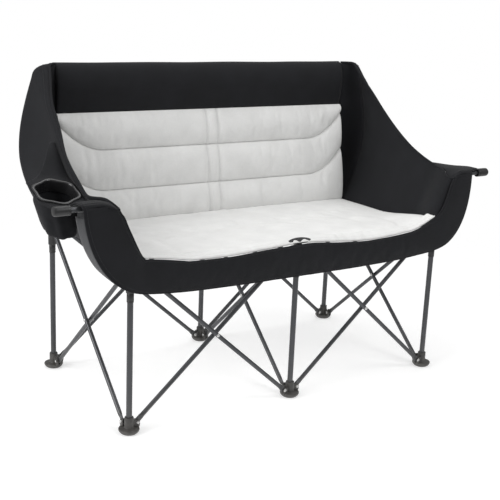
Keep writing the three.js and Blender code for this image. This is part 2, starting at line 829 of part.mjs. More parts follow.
// Armrests: a strip over the arm tube that turns down in front of the leg and runs into the front band

const stripFront = bandRearY - armFrontThickness;
const stripRear = rowY - armrestRearInset;

function panelOuterAt(y, z) {
  const forward = THREE.MathUtils.clamp((panelRearY - y) / (panelRearY - panelFrontY), 0, 1);
  const rise = Math.min(1, (z - panelBottom) / (panelTopEdge(y) - panelBottom));
  return panelPoint(forward ** (1 / panelRunCurve), rise).x;
}

// The strip with the cup holder dips behind the arm tube, then slopes up to the wing
const cupSlope = Math.tan(THREE.MathUtils.degToRad(cupTilt));

function cupLift(y) {
  const dipStart = -rowY + tubeRadius + armrestThickness;
  const bend = cupY - cupFlangeRadius - (stripRear - stripFront) / stripCells[0];
  const lowest = -cupSink - cupSlope * (cupY - bend);
  const dip = lowest * THREE.MathUtils.clamp((y - dipStart) / (bend - dipStart), 0, 1);
  return dip + cupSlope * Math.max(0, y - bend);
}

// The outer edge runs straight past the cup holder, then curves in to meet the panel
function armrestEdge(y, inner) {
  const curveStart = cupY + cupFlangeRadius;
  const share = THREE.MathUtils.clamp((y - curveStart) / (stripRear - curveStart), 0, 1);
  return THREE.MathUtils.lerp(armOuter, inner + armrestTipWidth, share ** 2);
}

function armrestGeometry(outward, liftAt) {
  const place = (u, v) => {
    const y = THREE.MathUtils.lerp(stripFront, stripRear, u);
    const [low, high] = [armrestBottom + liftAt(y), armTop + liftAt(y)];
    const inner = Math.max(panelOuterAt(y, low), panelOuterAt(y, high)) + armrestPanelGap;
    return [outward * THREE.MathUtils.lerp(inner, armrestEdge(y, inner), v), y];
  };
  const stripPoint = (u, v, height) => {
    const [x, y] = place(u, v);
    return [x, y, height + liftAt(y)];
  };
  const topAt = (u, v) => stripPoint(u, v, armTop);
  const bottomAt = (u, v) => stripPoint(u, v, armrestBottom);
  const strip = gridSolid(...stripCells, topAt, bottomAt);

  const outerTop = new THREE.Vector2(armOuter - armFrontInset, armTop - clearance);
  const outerEdge = new THREE.CubicBezierCurve(
    new THREE.Vector2(bandEnd + clearance, bandLowerEdge(bandEnd)),
    new THREE.Vector2(bay + armFrontFlare, bandLowerEdge(bandEnd) + armFrontSweep),
    new THREE.Vector2(outerTop.x - armFrontLean, bandTop + armFrontShoulder),
    outerTop,
  );
  const dropPoint = (u, v, y) => {
    const height = THREE.MathUtils.lerp(bandTop, outerTop.y, u);
    const edge = outerEdge.getPoint(u).lerp(new THREE.Vector2(armInnerEdge(height), height), v);
    return [outward * edge.x, y, edge.y];
  };
  const frontAt = (u, v) => dropPoint(u, v, stripFront);
  const rearAt = (u, v) => dropPoint(u, v, bandRearY);
  const drop = gridSolid(...armFrontCells, frontAt, rearAt);

  const gussetPoint = (u, v, inset) => {
    const edge = outerEdge.getPoint(THREE.MathUtils.lerp(gussetFrom, gussetTo, u));
    const y = THREE.MathUtils.lerp(stripFront + clearance, bandRearY + gussetDepth, v);
    return [outward * (edge.x - inset), y, edge.y];
  };
  const gussetOuter = (u, v) => gussetPoint(u, v, 0);
  const gussetInner = (u, v) => gussetPoint(u, v, gussetThickness);
  const gusset = gridSolid(armFrontCells[0], 1, gussetOuter, gussetInner);
  return toSolid(strip).add(toSolid(drop)).add(toSolid(gusset));
}

for (const [name, outward] of [['left', -1], ['right', 1]]) {
  addPiece(`side_panel_${name}`, sidePanelGeometry(outward), darkFabric);
}
addPiece('armrest_right', toGeometry(armrestGeometry(1, () => 0)), darkFabric);

// Cup holder: a rigid ring let into the left armrest, and a fabric pouch that hangs straight down from it

const cupHolder = new THREE.Matrix4().makeRotationX(THREE.MathUtils.degToRad(cupTilt));
cupHolder.setPosition(cupX, cupY, armTop + cupLift(cupY));

function cupRingGeometry() {
  const inner = cupRingRadius - cupRingWall;
  const body = turned([
    [inner, -cupRingDepth],
    [cupRingRadius, -cupRingDepth],
    [cupRingRadius, clearance],
    [cupFlangeRadius, clearance],
    [cupFlangeRadius, clearance + cupFlangeThickness],
    [inner, clearance + cupFlangeThickness],
    [inner, -cupRingDepth],
  ], cupSides);
  const notch = new THREE.BoxGeometry(cupNotchWidth, cupRingRadius, cupNotchHeight);
  notch.translate(0, -cupRingRadius, -armrestThickness - cupNotchHeight / 2 - clearance);
  return toGeometry(toSolid(body).subtract(toSolid(welded(notch))));
}

function cupPouchGeometry() {
  const inner = cupRingRadius + clearance;
  const top = -armrestThickness - clearance;
  const straightBottom = -cupRingDepth - clearance;
  const pouch = turned([
    [0, -pouchDepth],
    [pouchBottomRadius, -pouchDepth],
    [inner + pouchWall, straightBottom],
    [inner + pouchWall, top],
    [inner, top],
    [inner, straightBottom],
    [pouchBottomRadius - pouchWall, pouchWall - pouchDepth],
    [0, pouchWall - pouchDepth],
  ], cupSides);
  const place = pouch.attributes.position;
  for (let i = 0; i < place.count; i += 1) {
    const [x, y, z] = [place.getX(i), place.getY(i), place.getZ(i)];
    const hang = Math.max(0, straightBottom - z);
    const radius = Math.hypot(x, y);
    const fold = pouchFoldDepth * (hang / pouchDepth) * Math.cos(pouchFolds * Math.atan2(y, x));
    const scale = radius > pouchWall ? (radius + fold) / radius : 1;
    place.setXY(i, x * scale, y * scale - cupSlope * hang);
  }
  return pouch;
}

const ringHole = disc(cupRingRadius + clearance, -2 * armrestThickness, armrestThickness, cupSides);
const leftArmrest = armrestGeometry(-1, cupLift).subtract(toSolid(ringHole.applyMatrix4(cupHolder)));
addPiece('armrest_left', toGeometry(leftArmrest), darkFabric);
addPiece('cup_ring', cupRingGeometry(), plastic).applyMatrix4(cupHolder);
addPiece('cup_pouch', cupPouchGeometry(), darkFabric).applyMatrix4(cupHolder);

// Small lens-shaped tab that stands in the seam between the seat and the front band

function seatTabGeometry() {
  const outline = new THREE.Shape();
  outline.moveTo(-seatTabLength / 2, 0);
  outline.quadraticCurveTo(0, seatTabWidth, seatTabLength / 2, 0);
  outline.quadraticCurveTo(0, -seatTabWidth, -seatTabLength / 2, 0);
  const options = { depth: seatTabThickness, bevelEnabled: false, curveSegments: 5 };
  return welded(new THREE.ExtrudeGeometry(outline, options).rotateX(Math.PI / 2));
}

addPiece('seat_tab', seatTabGeometry(), plastic)
  .position.set(0, seatFront - clearance, bandTop + clearance + seatTabWidth / 2);

export default chair;
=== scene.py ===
import math

import bmesh
import bpy
from mathutils import Matrix, Vector, noise


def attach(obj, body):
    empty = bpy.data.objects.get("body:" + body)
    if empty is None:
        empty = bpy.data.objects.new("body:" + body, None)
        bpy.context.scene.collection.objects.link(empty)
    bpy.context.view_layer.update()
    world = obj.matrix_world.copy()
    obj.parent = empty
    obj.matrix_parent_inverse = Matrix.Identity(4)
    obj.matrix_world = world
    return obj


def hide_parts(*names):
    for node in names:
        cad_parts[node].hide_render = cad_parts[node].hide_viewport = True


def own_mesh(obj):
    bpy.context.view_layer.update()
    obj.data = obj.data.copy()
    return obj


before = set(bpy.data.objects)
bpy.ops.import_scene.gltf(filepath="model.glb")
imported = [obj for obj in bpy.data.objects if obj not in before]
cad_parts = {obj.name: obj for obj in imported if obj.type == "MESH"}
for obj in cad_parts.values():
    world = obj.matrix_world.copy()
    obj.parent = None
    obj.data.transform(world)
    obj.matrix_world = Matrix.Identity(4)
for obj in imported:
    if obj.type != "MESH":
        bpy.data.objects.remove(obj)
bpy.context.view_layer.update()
mm = 0.001
fullTurn = 2 * math.pi
upward = Vector((0, 0, 1))
hands = {"left": -1, "right": 1}


# small maths used by most pieces

def lerp(a, b, t):
    return a + (b - a) * t


def clamp(x, low=0.0, high=1.0):
    return max(low, min(high, x))


def ease(t):
    t = clamp(t)
    return t * t * (3 - 2 * t)


def ramp(value, start, reach):
    return ease((value - start) / reach)  # a negative reach climbs towards smaller values


def swell(share, power=1.0):
    return math.sin(math.pi * clamp(share)) ** power


def bell(away, width):
    return math.exp(-(away / width) ** 2)


def wobble(x, y, z, size):
    return noise.noise(Vector((x, y, z)) / size)  # smooth, -1 to 1, the same each run


def pucker(along, away, depth, reach, pitch, seed):
    # short creases that run into a seam and fade away from it
    phase = along / pitch + 1.3 * wobble(along, seed * 40.0, 0.0, pitch * 2.2)
    uneven = 0.6 + 0.4 * wobble(along, seed, 9.0, 70.0)
    return depth * math.sin(fullTurn * phase) * math.exp(-away / reach) * uneven


def steps(a, b, count):
    return [lerp(a, b, i / count) for i in range(count + 1)]


def around(count):
    return [fullTurn * k / count for k in range(count)]


def arc(centre, radius, start, end, count=8):
    turns = [math.radians(t) for t in steps(start, end, count)]
    return [(centre[0] + radius * math.cos(t), centre[1] + radius * math.sin(t)) for t in turns]


def wayOf(x):
    return -1 if x < 0 else 1


# mesh helpers, all lengths in millimetres

def linked(name, data):
    thing = bpy.data.objects.new(name, data)
    bpy.context.scene.collection.objects.link(thing)
    return thing


def faceOut(piece):
    work = bmesh.new()
    work.from_mesh(piece.data)
    bmesh.ops.recalc_face_normals(work, faces=work.faces)
    work.to_mesh(piece.data)
    work.free()


def newPiece(name, points, faces, finish, sharp=None, uvs=None):
    mesh = bpy.data.meshes.new(name)
    mesh.from_pydata([Vector(p) * mm for p in points], [], faces)
    if uvs:
        layer = mesh.uv_layers.new(name="cloth")
        for loop in mesh.loops:
            layer.data[loop.index].uv = uvs[loop.vertex_index]
    mesh.materials.append(finish)
    piece = linked(name, mesh)
    faceOut(piece)
    mesh.shade_smooth()
    if sharp:
        mesh.set_sharp_from_angle(angle=math.radians(sharp))
    return piece


sideways = {"axis": (1, 0, 0), "anchor": (0, 0, 0), "keep": 0.2}
endways = {"axis": (0, 1, 0), "anchor": (0, -0.193, 0), "keep": 0.2}


def mount(piece, body, node=None, squeeze=None):
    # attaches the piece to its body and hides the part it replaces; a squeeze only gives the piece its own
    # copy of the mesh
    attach(piece, body)
    if node:
        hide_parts(node)
    if squeeze:
        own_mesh(piece)


def joined(*shells):
    points, faces = [], []
    for shellPoints, shellFaces in shells:
        start = len(points)
        points += [Vector(p) for p in shellPoints]
        faces += [[start + i for i in face] for face in shellFaces]
    return points, faces


def turned(profile, sides=36, x=0, y=0):
    # closed profile of (radius, height); points on the axis become poles
    points, rings = [], []
    for radius, height in profile:
        ring = [(x, y, height)]
        if radius > 1e-6:
            ring = [(x + radius * math.cos(t), y + radius * math.sin(t), height) for t in around(sides)]
        rings.append(list(range(len(points), len(points) + len(ring))))
        points += ring
    faces = []
    loop = list(zip(rings, rings[1:]))
    if len(rings[0]) > 1 or len(rings[-1]) > 1:
        loop.append((rings[-1], rings[0]))
    for low, high in loop:
        for k in range(sides):
            n = (k + 1) % sides
            if len(low) > 1 and len(high) > 1:
                faces.append([low[k], low[n], high[n], high[k]])
            elif len(high) > 1:
                faces.append([low[0], high[n], high[k]])
            elif len(low) > 1:
                faces.append([low[k], low[n], high[0]])
    return points, faces


def lofted(rings, ends="closed"):
    # rings of equal count, joined in order; ends are closed by one face each, open, or joined in a loop
    count = len(rings[0])
    points = [p for ring in rings for p in ring]
    faces = []
    for r in range(len(rings) if ends == "joined" else len(rings) - 1):
        a, b = r * count, (r + 1) % len(rings) * count
        for k in range(count):
            n = (k + 1) % count
            faces.append([a + k, a + n, b + n, b + k])
    if ends == "closed":
        faces.append(list(range(count))[::-1])
        faces.append([(len(rings) - 1) * count + k for k in range(count)])
    return points, faces


def plate(outline, out, side, near, far, chamfer):
    # flat outline of (reach, height) given thickness between two offsets along side
    middle = Vector((sum(p[0] for p in outline), sum(p[1] for p in outline), 0)) / len(outline)
    rings = []
    for offset, inset in ((near, chamfer), (near + chamfer, 0), (far - chamfer, 0), (far, chamfer)):
        ring = []
        for reach, height in outline:
            away = Vector((reach - middle.x, height - middle.y, 0))
            away *= 1 - inset / max(away.length, chamfer * 2)
            place = out * (middle.x + away.x) + side * offset
            ring.append(place + Vector((0, 0, middle.y + away.y)))
        rings.append(ring)
    return lofted(rings)


def roundPath(points, radius, sides=24):
    # tube along a path in a plane square to Y
    across = Vector((0, 1, 0))
    rings = []
    for i, p in enumerate(points):
        ahead = Vector(points[min(i + 1, len(points) - 1)]) - Vector(points[max(i - 1, 0)])
        up = ahead.normalized().cross(across)
        rings.append([Vector(p) + (across * math.cos(t) + up * math.sin(t)) * radius for t in around(sides)])
    return lofted(rings)


# node helpers

def setInputs(tree, node, inputs):
    # an input takes a value, an output of another node, or a node's first output
    for label, value in inputs.items():
        if isinstance(value, bpy.types.Node):
            value = value.outputs[0]
        if isinstance(value, bpy.types.NodeSocket):
            tree.links.new(value, node.inputs[label])
        else:
            node.inputs[label].default_value = value


def addNode(tree, kind, inputs=None, **settings):
    node = tree.nodes.new(kind)
    for label, value in settings.items():
        setattr(node, label, value)
    setInputs(tree, node, inputs or {})
    return node


def mathNode(tree, operation, *values):
    return addNode(tree, "ShaderNodeMath", dict(enumerate(values)), operation=operation)


def newTree(name, kind, inputs, outputs):
    # a socket is given by the name of its kind, or as a number by its default
    tree = bpy.data.node_groups.new(name, kind)
    for way, sockets in (("INPUT", inputs), ("OUTPUT", outputs)):
        for label, value in sockets.items():
            isNumber = isinstance(value, float)
            socketKind = "NodeSocket" + ("Float" if isNumber else value)
            socket = tree.interface.new_socket(name=label, in_out=way, socket_type=socketKind)
            if isNumber:
                socket.default_value = value
    given, out = tree.nodes.new("NodeGroupInput"), tree.nodes.new("NodeGroupOutput")
    return tree, given.outputs, out


# shader groups shared by the finishes

def makeWeave():
    # plain weave: warp and weft pass over each other by turns
    group, given, out = newTree("plainWeave", "ShaderNodeTree", {"Vector": "Vector", "Pitch": 0.0016},
                                {"Height": "Float", "Thread": "Float"})
    split = addNode(group, "ShaderNodeSeparateXYZ", {"Vector": given["Vector"]})
    waves = []
    for axis in "XY":
        share = mathNode(group, "DIVIDE", split.outputs[axis], given["Pitch"])
        waves.append(mathNode(group, "SINE", mathNode(group, "MULTIPLY", share, math.pi)))
    over = mathNode(group, "GREATER_THAN", mathNode(group, "MULTIPLY", *waves), 0.0)
    warp, weft = (mathNode(group, "ABSOLUTE", wave) for wave in waves)
    under = mathNode(group, "MULTIPLY", weft, mathNode(group, "SUBTRACT", 1.0, over))
    setInputs(group, out, {"Height": mathNode(group, "MULTIPLY_ADD", warp, over, under), "Thread": over})
    return group


def makeMottle():
    # slow change of tone, as in dyed cloth or moulded plastic
    group, given, out = newTree("toneMottle", "ShaderNodeTree",
                                {"Vector": "Vector", "Size": 20.0, "Low": 0.0, "High": 1.0},
                                {"Value": "Float"})
    cloud = addNode(group, "ShaderNodeTexNoise",
                    {"Vector": given["Vector"], "Scale": given["Size"], "Detail": 4.0})
    spread = addNode(group, "ShaderNodeMapRange", {
        "Value": cloud.outputs["Fac"], "From Min": 0.3, "From Max": 0.7,
        "To Min": given["Low"], "To Max": given["High"]})
    setInputs(group, out, {"Value": spread})
    return group


def makeFloorDust():
    # pale dust that settles low on the frame
    group, given, out = newTree("floorDust", "ShaderNodeTree",
                                {"Vector": "Vector", "Reach": 0.12, "Amount": 0.3}, {"Mask": "Float"})
    split = addNode(group, "ShaderNodeSeparateXYZ", {"Vector": given["Vector"]})
    height = mathNode(group, "DIVIDE", split.outputs["Z"], given["Reach"])
    near = mathNode(group, "MAXIMUM", mathNode(group, "SUBTRACT", 1.0, height), 0.0)
    cloud = addNode(group, "ShaderNodeTexNoise", {"Vector": given["Vector"], "Scale": 60.0, "Detail": 5.0})
    settled = mathNode(group, "MULTIPLY", near, cloud.outputs["Fac"])
    setInputs(group, out, {"Mask": mathNode(group, "MULTIPLY", settled, given["Amount"])})
    return group


weave, mottle, floorDust = makeWeave(), makeMottle(), makeFloorDust()


def useGroup(tree, group, vector, **values):
    return addNode(tree, "ShaderNodeGroup", {"Vector": vector, **values}, node_tree=group)


def newFinish(name):
    finish = bpy.data.materials.new(name)
    finish.use_nodes = True
    tree = finish.node_tree
    place = tree.nodes.new("ShaderNodeTexCoord")
    return finish, tree, tree.nodes["Principled BSDF"], place.outputs


def mixColour(tree, share, low, high):
    node = addNode(tree, "ShaderNodeMix", {"Factor": share}, data_type="RGBA")
    for label, value in (("A", low), ("B", high)):
        socket = [s for s in node.inputs if s.name == label and s.type == "RGBA"][0]
        if isinstance(value, tuple):
            socket.default_value = (*value, 1.0)
        else:
            tree.links.new(value, socket)
    return [s for s in node.outputs if s.type == "RGBA"][0]


def bumpFrom(tree, height, strength, depth):
    return addNode(tree, "ShaderNodeBump", {"Height": height, "Strength": strength, "Distance": depth})


clothLooks = {
    "darkCloth": {"low": (0.0068, 0.0071, 0.0085), "high": (0.014, 0.0145, 0.017), "pitch": 0.0016,
                  "rough": (0.72, 0.86), "sheen": 0.05, "bump": 0.35},
    "paleCloth": {"low": (0.73, 0.73, 0.72), "high": (0.84, 0.84, 0.83), "pitch": 0.0013,
                  "rough": (0.8, 0.92), "sheen": 0.1, "bump": 0.25},
    # the gusset's cloth is the dark cloth painted lighter: painted light where its side face turns to the
    # fill lamp
    "gussetPaintedLightCloth": {"low": (0.042, 0.043, 0.046), "high": (0.07, 0.071, 0.075), "pitch": 0.0018,
                    "rough": (0.6, 0.75), "sheen": 0.1, "bump": 0.35},
}


def clothFinish(name):
    look = clothLooks[name]
    finish, tree, shader, place = newFinish(name)
    threads = useGroup(tree, weave, place["UV"], Pitch=look["pitch"])
    tone = useGroup(tree, mottle, place["Object"], Size=14.0, Low=0.15, High=0.75)
    fine = useGroup(tree, mottle, place["Object"], Size=220.0, Low=-0.12, High=0.12)
    clouds = mathNode(tree, "ADD", tone, fine)
    share = mathNode(tree, "MULTIPLY_ADD", threads.outputs["Thread"], 0.18, clouds)
    low, high = look["rough"]
    setInputs(tree, shader, {
        "Base Color": mixColour(tree, share, look["low"], look["high"]),
        "Roughness": mathNode(tree, "MULTIPLY_ADD", tone, high - low, low),
        "Normal": bumpFrom(tree, threads.outputs["Height"], look["bump"], 0.0006),
        "Sheen Weight": look["sheen"], "Sheen Roughness": 0.45, "Specular IOR Level": 0.2})
    return finish


coatLooks = {
    "powderCoat": {"low": (0.056, 0.058, 0.062), "high": (0.082, 0.084, 0.09), "metallic": 0.6,
                   "rough": 0.3, "dust": 0.2, "bump": 0.25, "coat": 0.0},
    "blackPlastic": {"low": (0.011, 0.011, 0.012), "high": (0.019, 0.019, 0.02), "metallic": 0.0,
                     "rough": 0.36, "dust": 0.35, "bump": 0.2, "coat": 0.0},
    "glossPlastic": {"low": (0.012, 0.012, 0.013), "high": (0.02, 0.02, 0.021), "metallic": 0.0,
                     "rough": 0.22, "dust": 0.0, "bump": 0.06, "coat": 0.2},
    "rivetSteel": {"low": (0.5, 0.5, 0.5), "high": (0.66, 0.66, 0.65), "metallic": 1.0,
                   "rough": 0.24, "dust": 0.2, "bump": 0.12, "coat": 0.0},
    "darkThread": {"low": (0.02, 0.02, 0.022), "high": (0.032, 0.032, 0.035), "metallic": 0.0,
                   "rough": 0.6, "dust": 0.0, "bump": 0.2, "coat": 0.0},
    "paleThread": {"low": (0.58, 0.58, 0.57), "high": (0.68, 0.68, 0.66), "metallic": 0.0,
                   "rough": 0.65, "dust": 0.0, "bump": 0.2, "coat": 0.0},
}
dustColour = (0.32, 0.3, 0.27)


def coatFinish(name):
    look = coatLooks[name]
    finish, tree, shader, place = newFinish(name)
    tone = useGroup(tree, mottle, place["Object"], Size=9.0, Low=0.0, High=1.0)
    grain = useGroup(tree, mottle, place["Object"], Size=900.0, Low=0.0, High=1.0)
    settled = useGroup(tree, floorDust, place["Object"], Reach=0.14, Amount=look["dust"])
    clean = mixColour(tree, tone, look["low"], look["high"])
    rough = mathNode(tree, "MULTIPLY_ADD", tone, 0.08, look["rough"])
    setInputs(tree, shader, {
        "Base Color": mixColour(tree, settled, clean, dustColour),
        "Roughness": mathNode(tree, "MULTIPLY_ADD", settled, 0.3, rough),
        "Normal": bumpFrom(tree, grain, look["bump"], 0.0002),
        "Metallic": look["metallic"], "Coat Weight": look["coat"]})
    return finish


darkCloth, paleCloth, gussetPaintedLightCloth = (clothFinish(name) for name in clothLooks)
powderCoat, blackPlastic, glossPlastic, rivetSteel, darkThread, paleThread = (
    coatFinish(name) for name in coatLooks)
print("finishes:", len(bpy.data.materials))


# geometry nodes trees for what repeats or follows a seam

def nodesTree(name, sizes):
    inputs = {"Geometry": "Geometry", **sizes, "Finish": "Material"}
    return newTree(name, "GeometryNodeTree", inputs, {"Geometry": "Geometry"})


def handOut(tree, geometry, given, out):
    # realize, smooth, paint and hand out
    real = addNode(tree, "GeometryNodeRealizeInstances", {"Geometry": geometry})
    smooth = addNode(tree, "GeometryNodeSetShadeSmooth", {"Geometry": real})
    painted = addNode(tree, "GeometryNodeSetMaterial", {"Geometry": smooth, "Material": given["Finish"]})
    setInputs(tree, out, {"Geometry": painted})
    return tree


def makeRivetTree():
    # a domed head on each point, facing along the point's own direction
    tree, given, out = nodesTree("rivetHeads", {"Head Radius": 0.0055, "Head Height": 0.0024})
    ball = addNode(tree, "GeometryNodeMeshUVSphere", {"Segments": 14, "Rings": 8, "Radius": 1.0})
    where = addNode(tree, "GeometryNodeInputPosition")
    split = addNode(tree, "ShaderNodeSeparateXYZ", {"Vector": where}).outputs
    cut = addNode(tree, "ShaderNodeCombineXYZ", {
        "X": split["X"], "Y": split["Y"], "Z": mathNode(tree, "MAXIMUM", split["Z"], -0.15)})
    dome = addNode(tree, "GeometryNodeSetPosition", {"Geometry": ball, "Position": cut})  # flat underneath
    sizes = addNode(tree, "ShaderNodeCombineXYZ", {
        "X": given["Head Radius"], "Y": given["Head Radius"], "Z": given["Head Height"]})
    facing = addNode(tree, "GeometryNodeInputNamedAttribute", {"Name": "facing"}, data_type="FLOAT_VECTOR")
    align = addNode(tree, "FunctionNodeAlignRotationToVector",
                    {"Vector": facing.outputs["Attribute"]}, axis="Z")
    spots = addNode(tree, "GeometryNodeMeshToPoints", {"Mesh": given["Geometry"]})
    heads = addNode(tree, "GeometryNodeInstanceOnPoints",
                    {"Points": spots, "Instance": dome, "Rotation": align, "Scale": sizes})
    return handOut(tree, heads, given, out)


def makeStitchTree():
    # short thread loops at an even pitch along a seam
    tree, given, out = nodesTree("stitchRun", {"Pitch": 0.0048, "Thread Radius": 0.0005,
                                               "Stitch Length": 0.0033})
    seam = addNode(tree, "GeometryNodeMeshToCurve", {"Mesh": given["Geometry"]})
    spots = addNode(tree, "GeometryNodeCurveToPoints", {"Curve": seam, "Length": given["Pitch"]},
                    mode="LENGTH")
    loop = addNode(tree, "GeometryNodeMeshIcoSphere", {"Radius": 1.0, "Subdivisions": 1})
    sizes = addNode(tree, "ShaderNodeCombineXYZ", {
        "X": given["Thread Radius"], "Y": given["Thread Radius"],
        "Z": mathNode(tree, "MULTIPLY", given["Stitch Length"], 0.5)})
    run = addNode(tree, "GeometryNodeInstanceOnPoints", {
        "Points": spots, "Instance": loop, "Rotation": spots.outputs["Rotation"], "Scale": sizes})
    return handOut(tree, run, given, out)


def makeBindingTree():
    # rolled tape along an edge
    tree, given, out = nodesTree("edgeBinding", {"Roll Radius": 0.004, "Step": 0.008})
    edge = addNode(tree, "GeometryNodeMeshToCurve", {"Mesh": given["Geometry"]})
    even = addNode(tree, "GeometryNodeResampleCurve", {"Curve": edge, "Length": given["Step"]},
                   mode="LENGTH")
    section = addNode(tree, "GeometryNodeCurvePrimitiveCircle",
                      {"Resolution": 10, "Radius": given["Roll Radius"]})
    roll = addNode(tree, "GeometryNodeCurveToMesh",
                   {"Curve": even, "Profile Curve": section, "Fill Caps": True})
    return handOut(tree, roll, given, out)


rivetTree, stitchTree, bindingTree = makeRivetTree(), makeStitchTree(), makeBindingTree()


def grow(piece, tree, finish, sizes):
    # runs a tree on a piece and keeps the result as its plain mesh
    modifier = piece.modifiers.new("make", "NODES")
    modifier.node_group = tree
    for item in tree.interface.items_tree:
        if item.name == "Finish":
            modifier[item.identifier] = finish
        elif item.name in sizes:
            modifier[item.identifier] = sizes[item.name] * mm
    layer = bpy.context.evaluated_depsgraph_get()
    made = piece.evaluated_get(layer)
    mesh = bpy.data.meshes.new_from_object(made, preserve_all_data_layers=True, depsgraph=layer)
    piece.modifiers.remove(modifier)
    old = piece.data
    piece.data = mesh
    bpy.data.meshes.remove(old)
    faceOut(piece)
    return piece


def rivetHeads(name, spots, radius=5.5, height=2.4):
    mesh = bpy.data.meshes.new(name)
    mesh.from_pydata([place * mm for place, facing in spots], [], [])
    way = mesh.attributes.new("facing", "FLOAT_VECTOR", "POINT")
    way.data.foreach_set("vector", [c for place, facing in spots for c in facing])
    return grow(linked(name, mesh), rivetTree, rivetSteel, {"Head Radius": radius, "Head Height": height})


def seamLines(name, lines):
    # polylines in metres as one mesh of edges
    points, edges = [], []
    for line in lines:
        edges += [(len(points) + i, len(points) + i + 1) for i in range(len(line) - 1)]
        points += line
    mesh = bpy.data.meshes.new(name)
    mesh.from_pydata(points, edges, [])
    return linked(name, mesh)


def stitches(name, lines, thread):
    return grow(seamLines(name, lines), stitchTree, thread, {"Pitch": 4.8})


def binding(name, lines, radius):
    return grow(seamLines(name, lines), bindingTree, darkCloth, {"Roll Radius": radius})


# the frame: six legs on a square grid, joined by crossed bars

legSpacing = 550.0
legs = {row + "_" + column: (x, y)
        for row, y in (("rear", legSpacing / 2), ("front", -legSpacing / 2))
        for column, x in (("middle", 0.0), ("left", -legSpacing), ("right", legSpacing))}
pairs = {"middle": ("rear_middle", "front_middle")}
for row in ("rear", "front"):
    pairs.update({row + "_" + hand: (row + "_middle", row + "_" + hand) for hand in hands})
pairs.update({"side_" + hand: ("rear_" + hand, "front_" + hand) for hand in hands})
pivots = {"foot": 26.0, "hub": 468.5, "out": 26.0}


def pairFrame(pair):
    near, far = (Vector((*legs[leg], 0)) for leg in pairs[pair])
    along = (far - near).normalized()
    return near, far, along, upward.cross(along)


def pivotsOf(leg, end):
    found = []
    for pair, ends in pairs.items():
        if leg in ends:
            along, side = pairFrame(pair)[2:]
            isNear = leg == ends[0]
            found.append((along if isNear else -along, side if isNear != (end == "hub") else -side))
    return found


# outlines of rib and cheek run up to the round tip and on from it
forks = {"rib": 4.0, "cheekNear": 10.0, "cheekFar": 13.2, "endRadius": 7.0, "edge": 0.8,
         "foot": {"tip": (0, 90), "rib": ([(9, 10), (27, 10), (31.5, 14), (33, 20)], [(18, 36.5), (9, 41)]),
                  "cheek": ([(14, 10), (26, 10), (31, 14), (33, 20)], [(18, 34), (14, 36)])},
         "hub": {"tip": (-90, 90), "rib": ([(9, 449), (20, 453)], [(20, 478), (9, 483)]),
                 "cheek": ([(11, 455), (18, 458)], [(18, 477), (11, 479)])}}
mouldings = {
    "foot": [(0, 0), (19.5, 0), (22.3, 0.6), (25.5, 3.2), (28.3, 6.6), (29.8, 10), (30, 12.2), (29.3, 14.2),
             (27.4, 15), (16.5, 15.5), (14.2, 16.6), (13.2, 19), (13, 24), (13, 45.6), (12.5, 47.3),
             (11.3, 48), (8.9, 48), (8.7, 47.6), (8.7, 7.2), (0, 7.2)],
    "hub": [(7.3, 410.4), (11.3, 410.4), (12.2, 411.2), (12.5, 412.6), (12.5, 446), (13.1, 449), (13.1, 481),
            (12.5, 484), (12.4, 486.6), (11.6, 488.9), (10.2, 489.5), (7.3, 489.5)]}
tubes = {"post": [(0, 7.3), (8.5, 7.3), (8.5, 386), (7.3, 386), (7.3, 20), (0, 20)],
         "collar": [(7.35, 384), (9.6, 384), (10, 384.6), (10, 388.4), (9.6, 389), (10, 389.6), (10, 408.6),
                    (9.3, 409.8), (7.35, 409.8)],
         "upperRadius": 7.1, "rear": (60, 500, 959.0), "middle": (60, 300, 489.3), "corner": (60, 400),
         "bend": 150, "armHeight": 653, "armReach": 204}


def pivotPlates(leg, end):
    # inner rib and outer cheek of each fork, with the bar's flat end between them
    centre, shape = Vector((*legs[leg], 0)), forks[end]
    plates, heads = [], []
    for out, side in pivotsOf(leg, end):
        tip = arc((pivots["out"], pivots[end]), forks["endRadius"], *shape["tip"])
        for kind, near, far in (("rib", -forks["rib"], forks["rib"]),
                                ("cheek", forks["cheekNear"], forks["cheekFar"])):
            before, after = shape[kind]
            points, faces = plate(before + tip + after, out, side, near, far, forks["edge"])
            plates.append(([centre + p for p in points], faces))
        pin = centre + out * pivots["out"] + upward * pivots[end]
        heads += [(pin + side * forks["cheekFar"], side), (pin - side * forks["rib"], -side)]
    return plates, heads


def moulding(leg, end, body):
    plates, heads = pivotPlates(leg, end)
    points, faces = joined(turned(mouldings[end], 36, *legs[leg]), *plates)
    mount(newPiece(end + "Moulding_" + leg, points, faces, blackPlastic, 38), body, end + "_" + leg)
    mount(rivetHeads(end + "Pins_" + leg, heads), body)


def upperPath(leg):
    x, y = legs[leg]
    kind = "rear" if leg.startswith("rear") else "corner" if x else "middle"
    path = [(x, y, z) for z in tubes[kind]]
    if kind == "corner":  # bends outward to carry the arm
        way, bend = wayOf(x), tubes["bend"]
        turn = arc((0, tubes["armHeight"] - bend), bend, 0, 90, 18)
        path += [(x + way * (bend - r), y, z) for r, z in turn]
        path.append((x + way * tubes["armReach"], y, tubes["armHeight"]))
    return path


for leg, (x, y) in legs.items():
    lower, upper = leg + "_lower", leg + "_upper"
    moulding(leg, "foot", lower)
    post = newPiece("legTube_" + leg, *turned(tubes["post"], 28, x, y), powderCoat, 40)
    mount(post, lower, "leg_post_" + leg)
    mount(newPiece("legCollar_" + leg, *turned(tubes["collar"], 28, x, y), blackPlastic, 40), lower)
    moulding(leg, "hub", upper)
    points, faces = roundPath(upperPath(leg), tubes["upperRadius"])
    mount(newPiece("upperTube_" + leg + "_bent", points, faces, powderCoat, 40), upper, "upper_tube_" + leg)

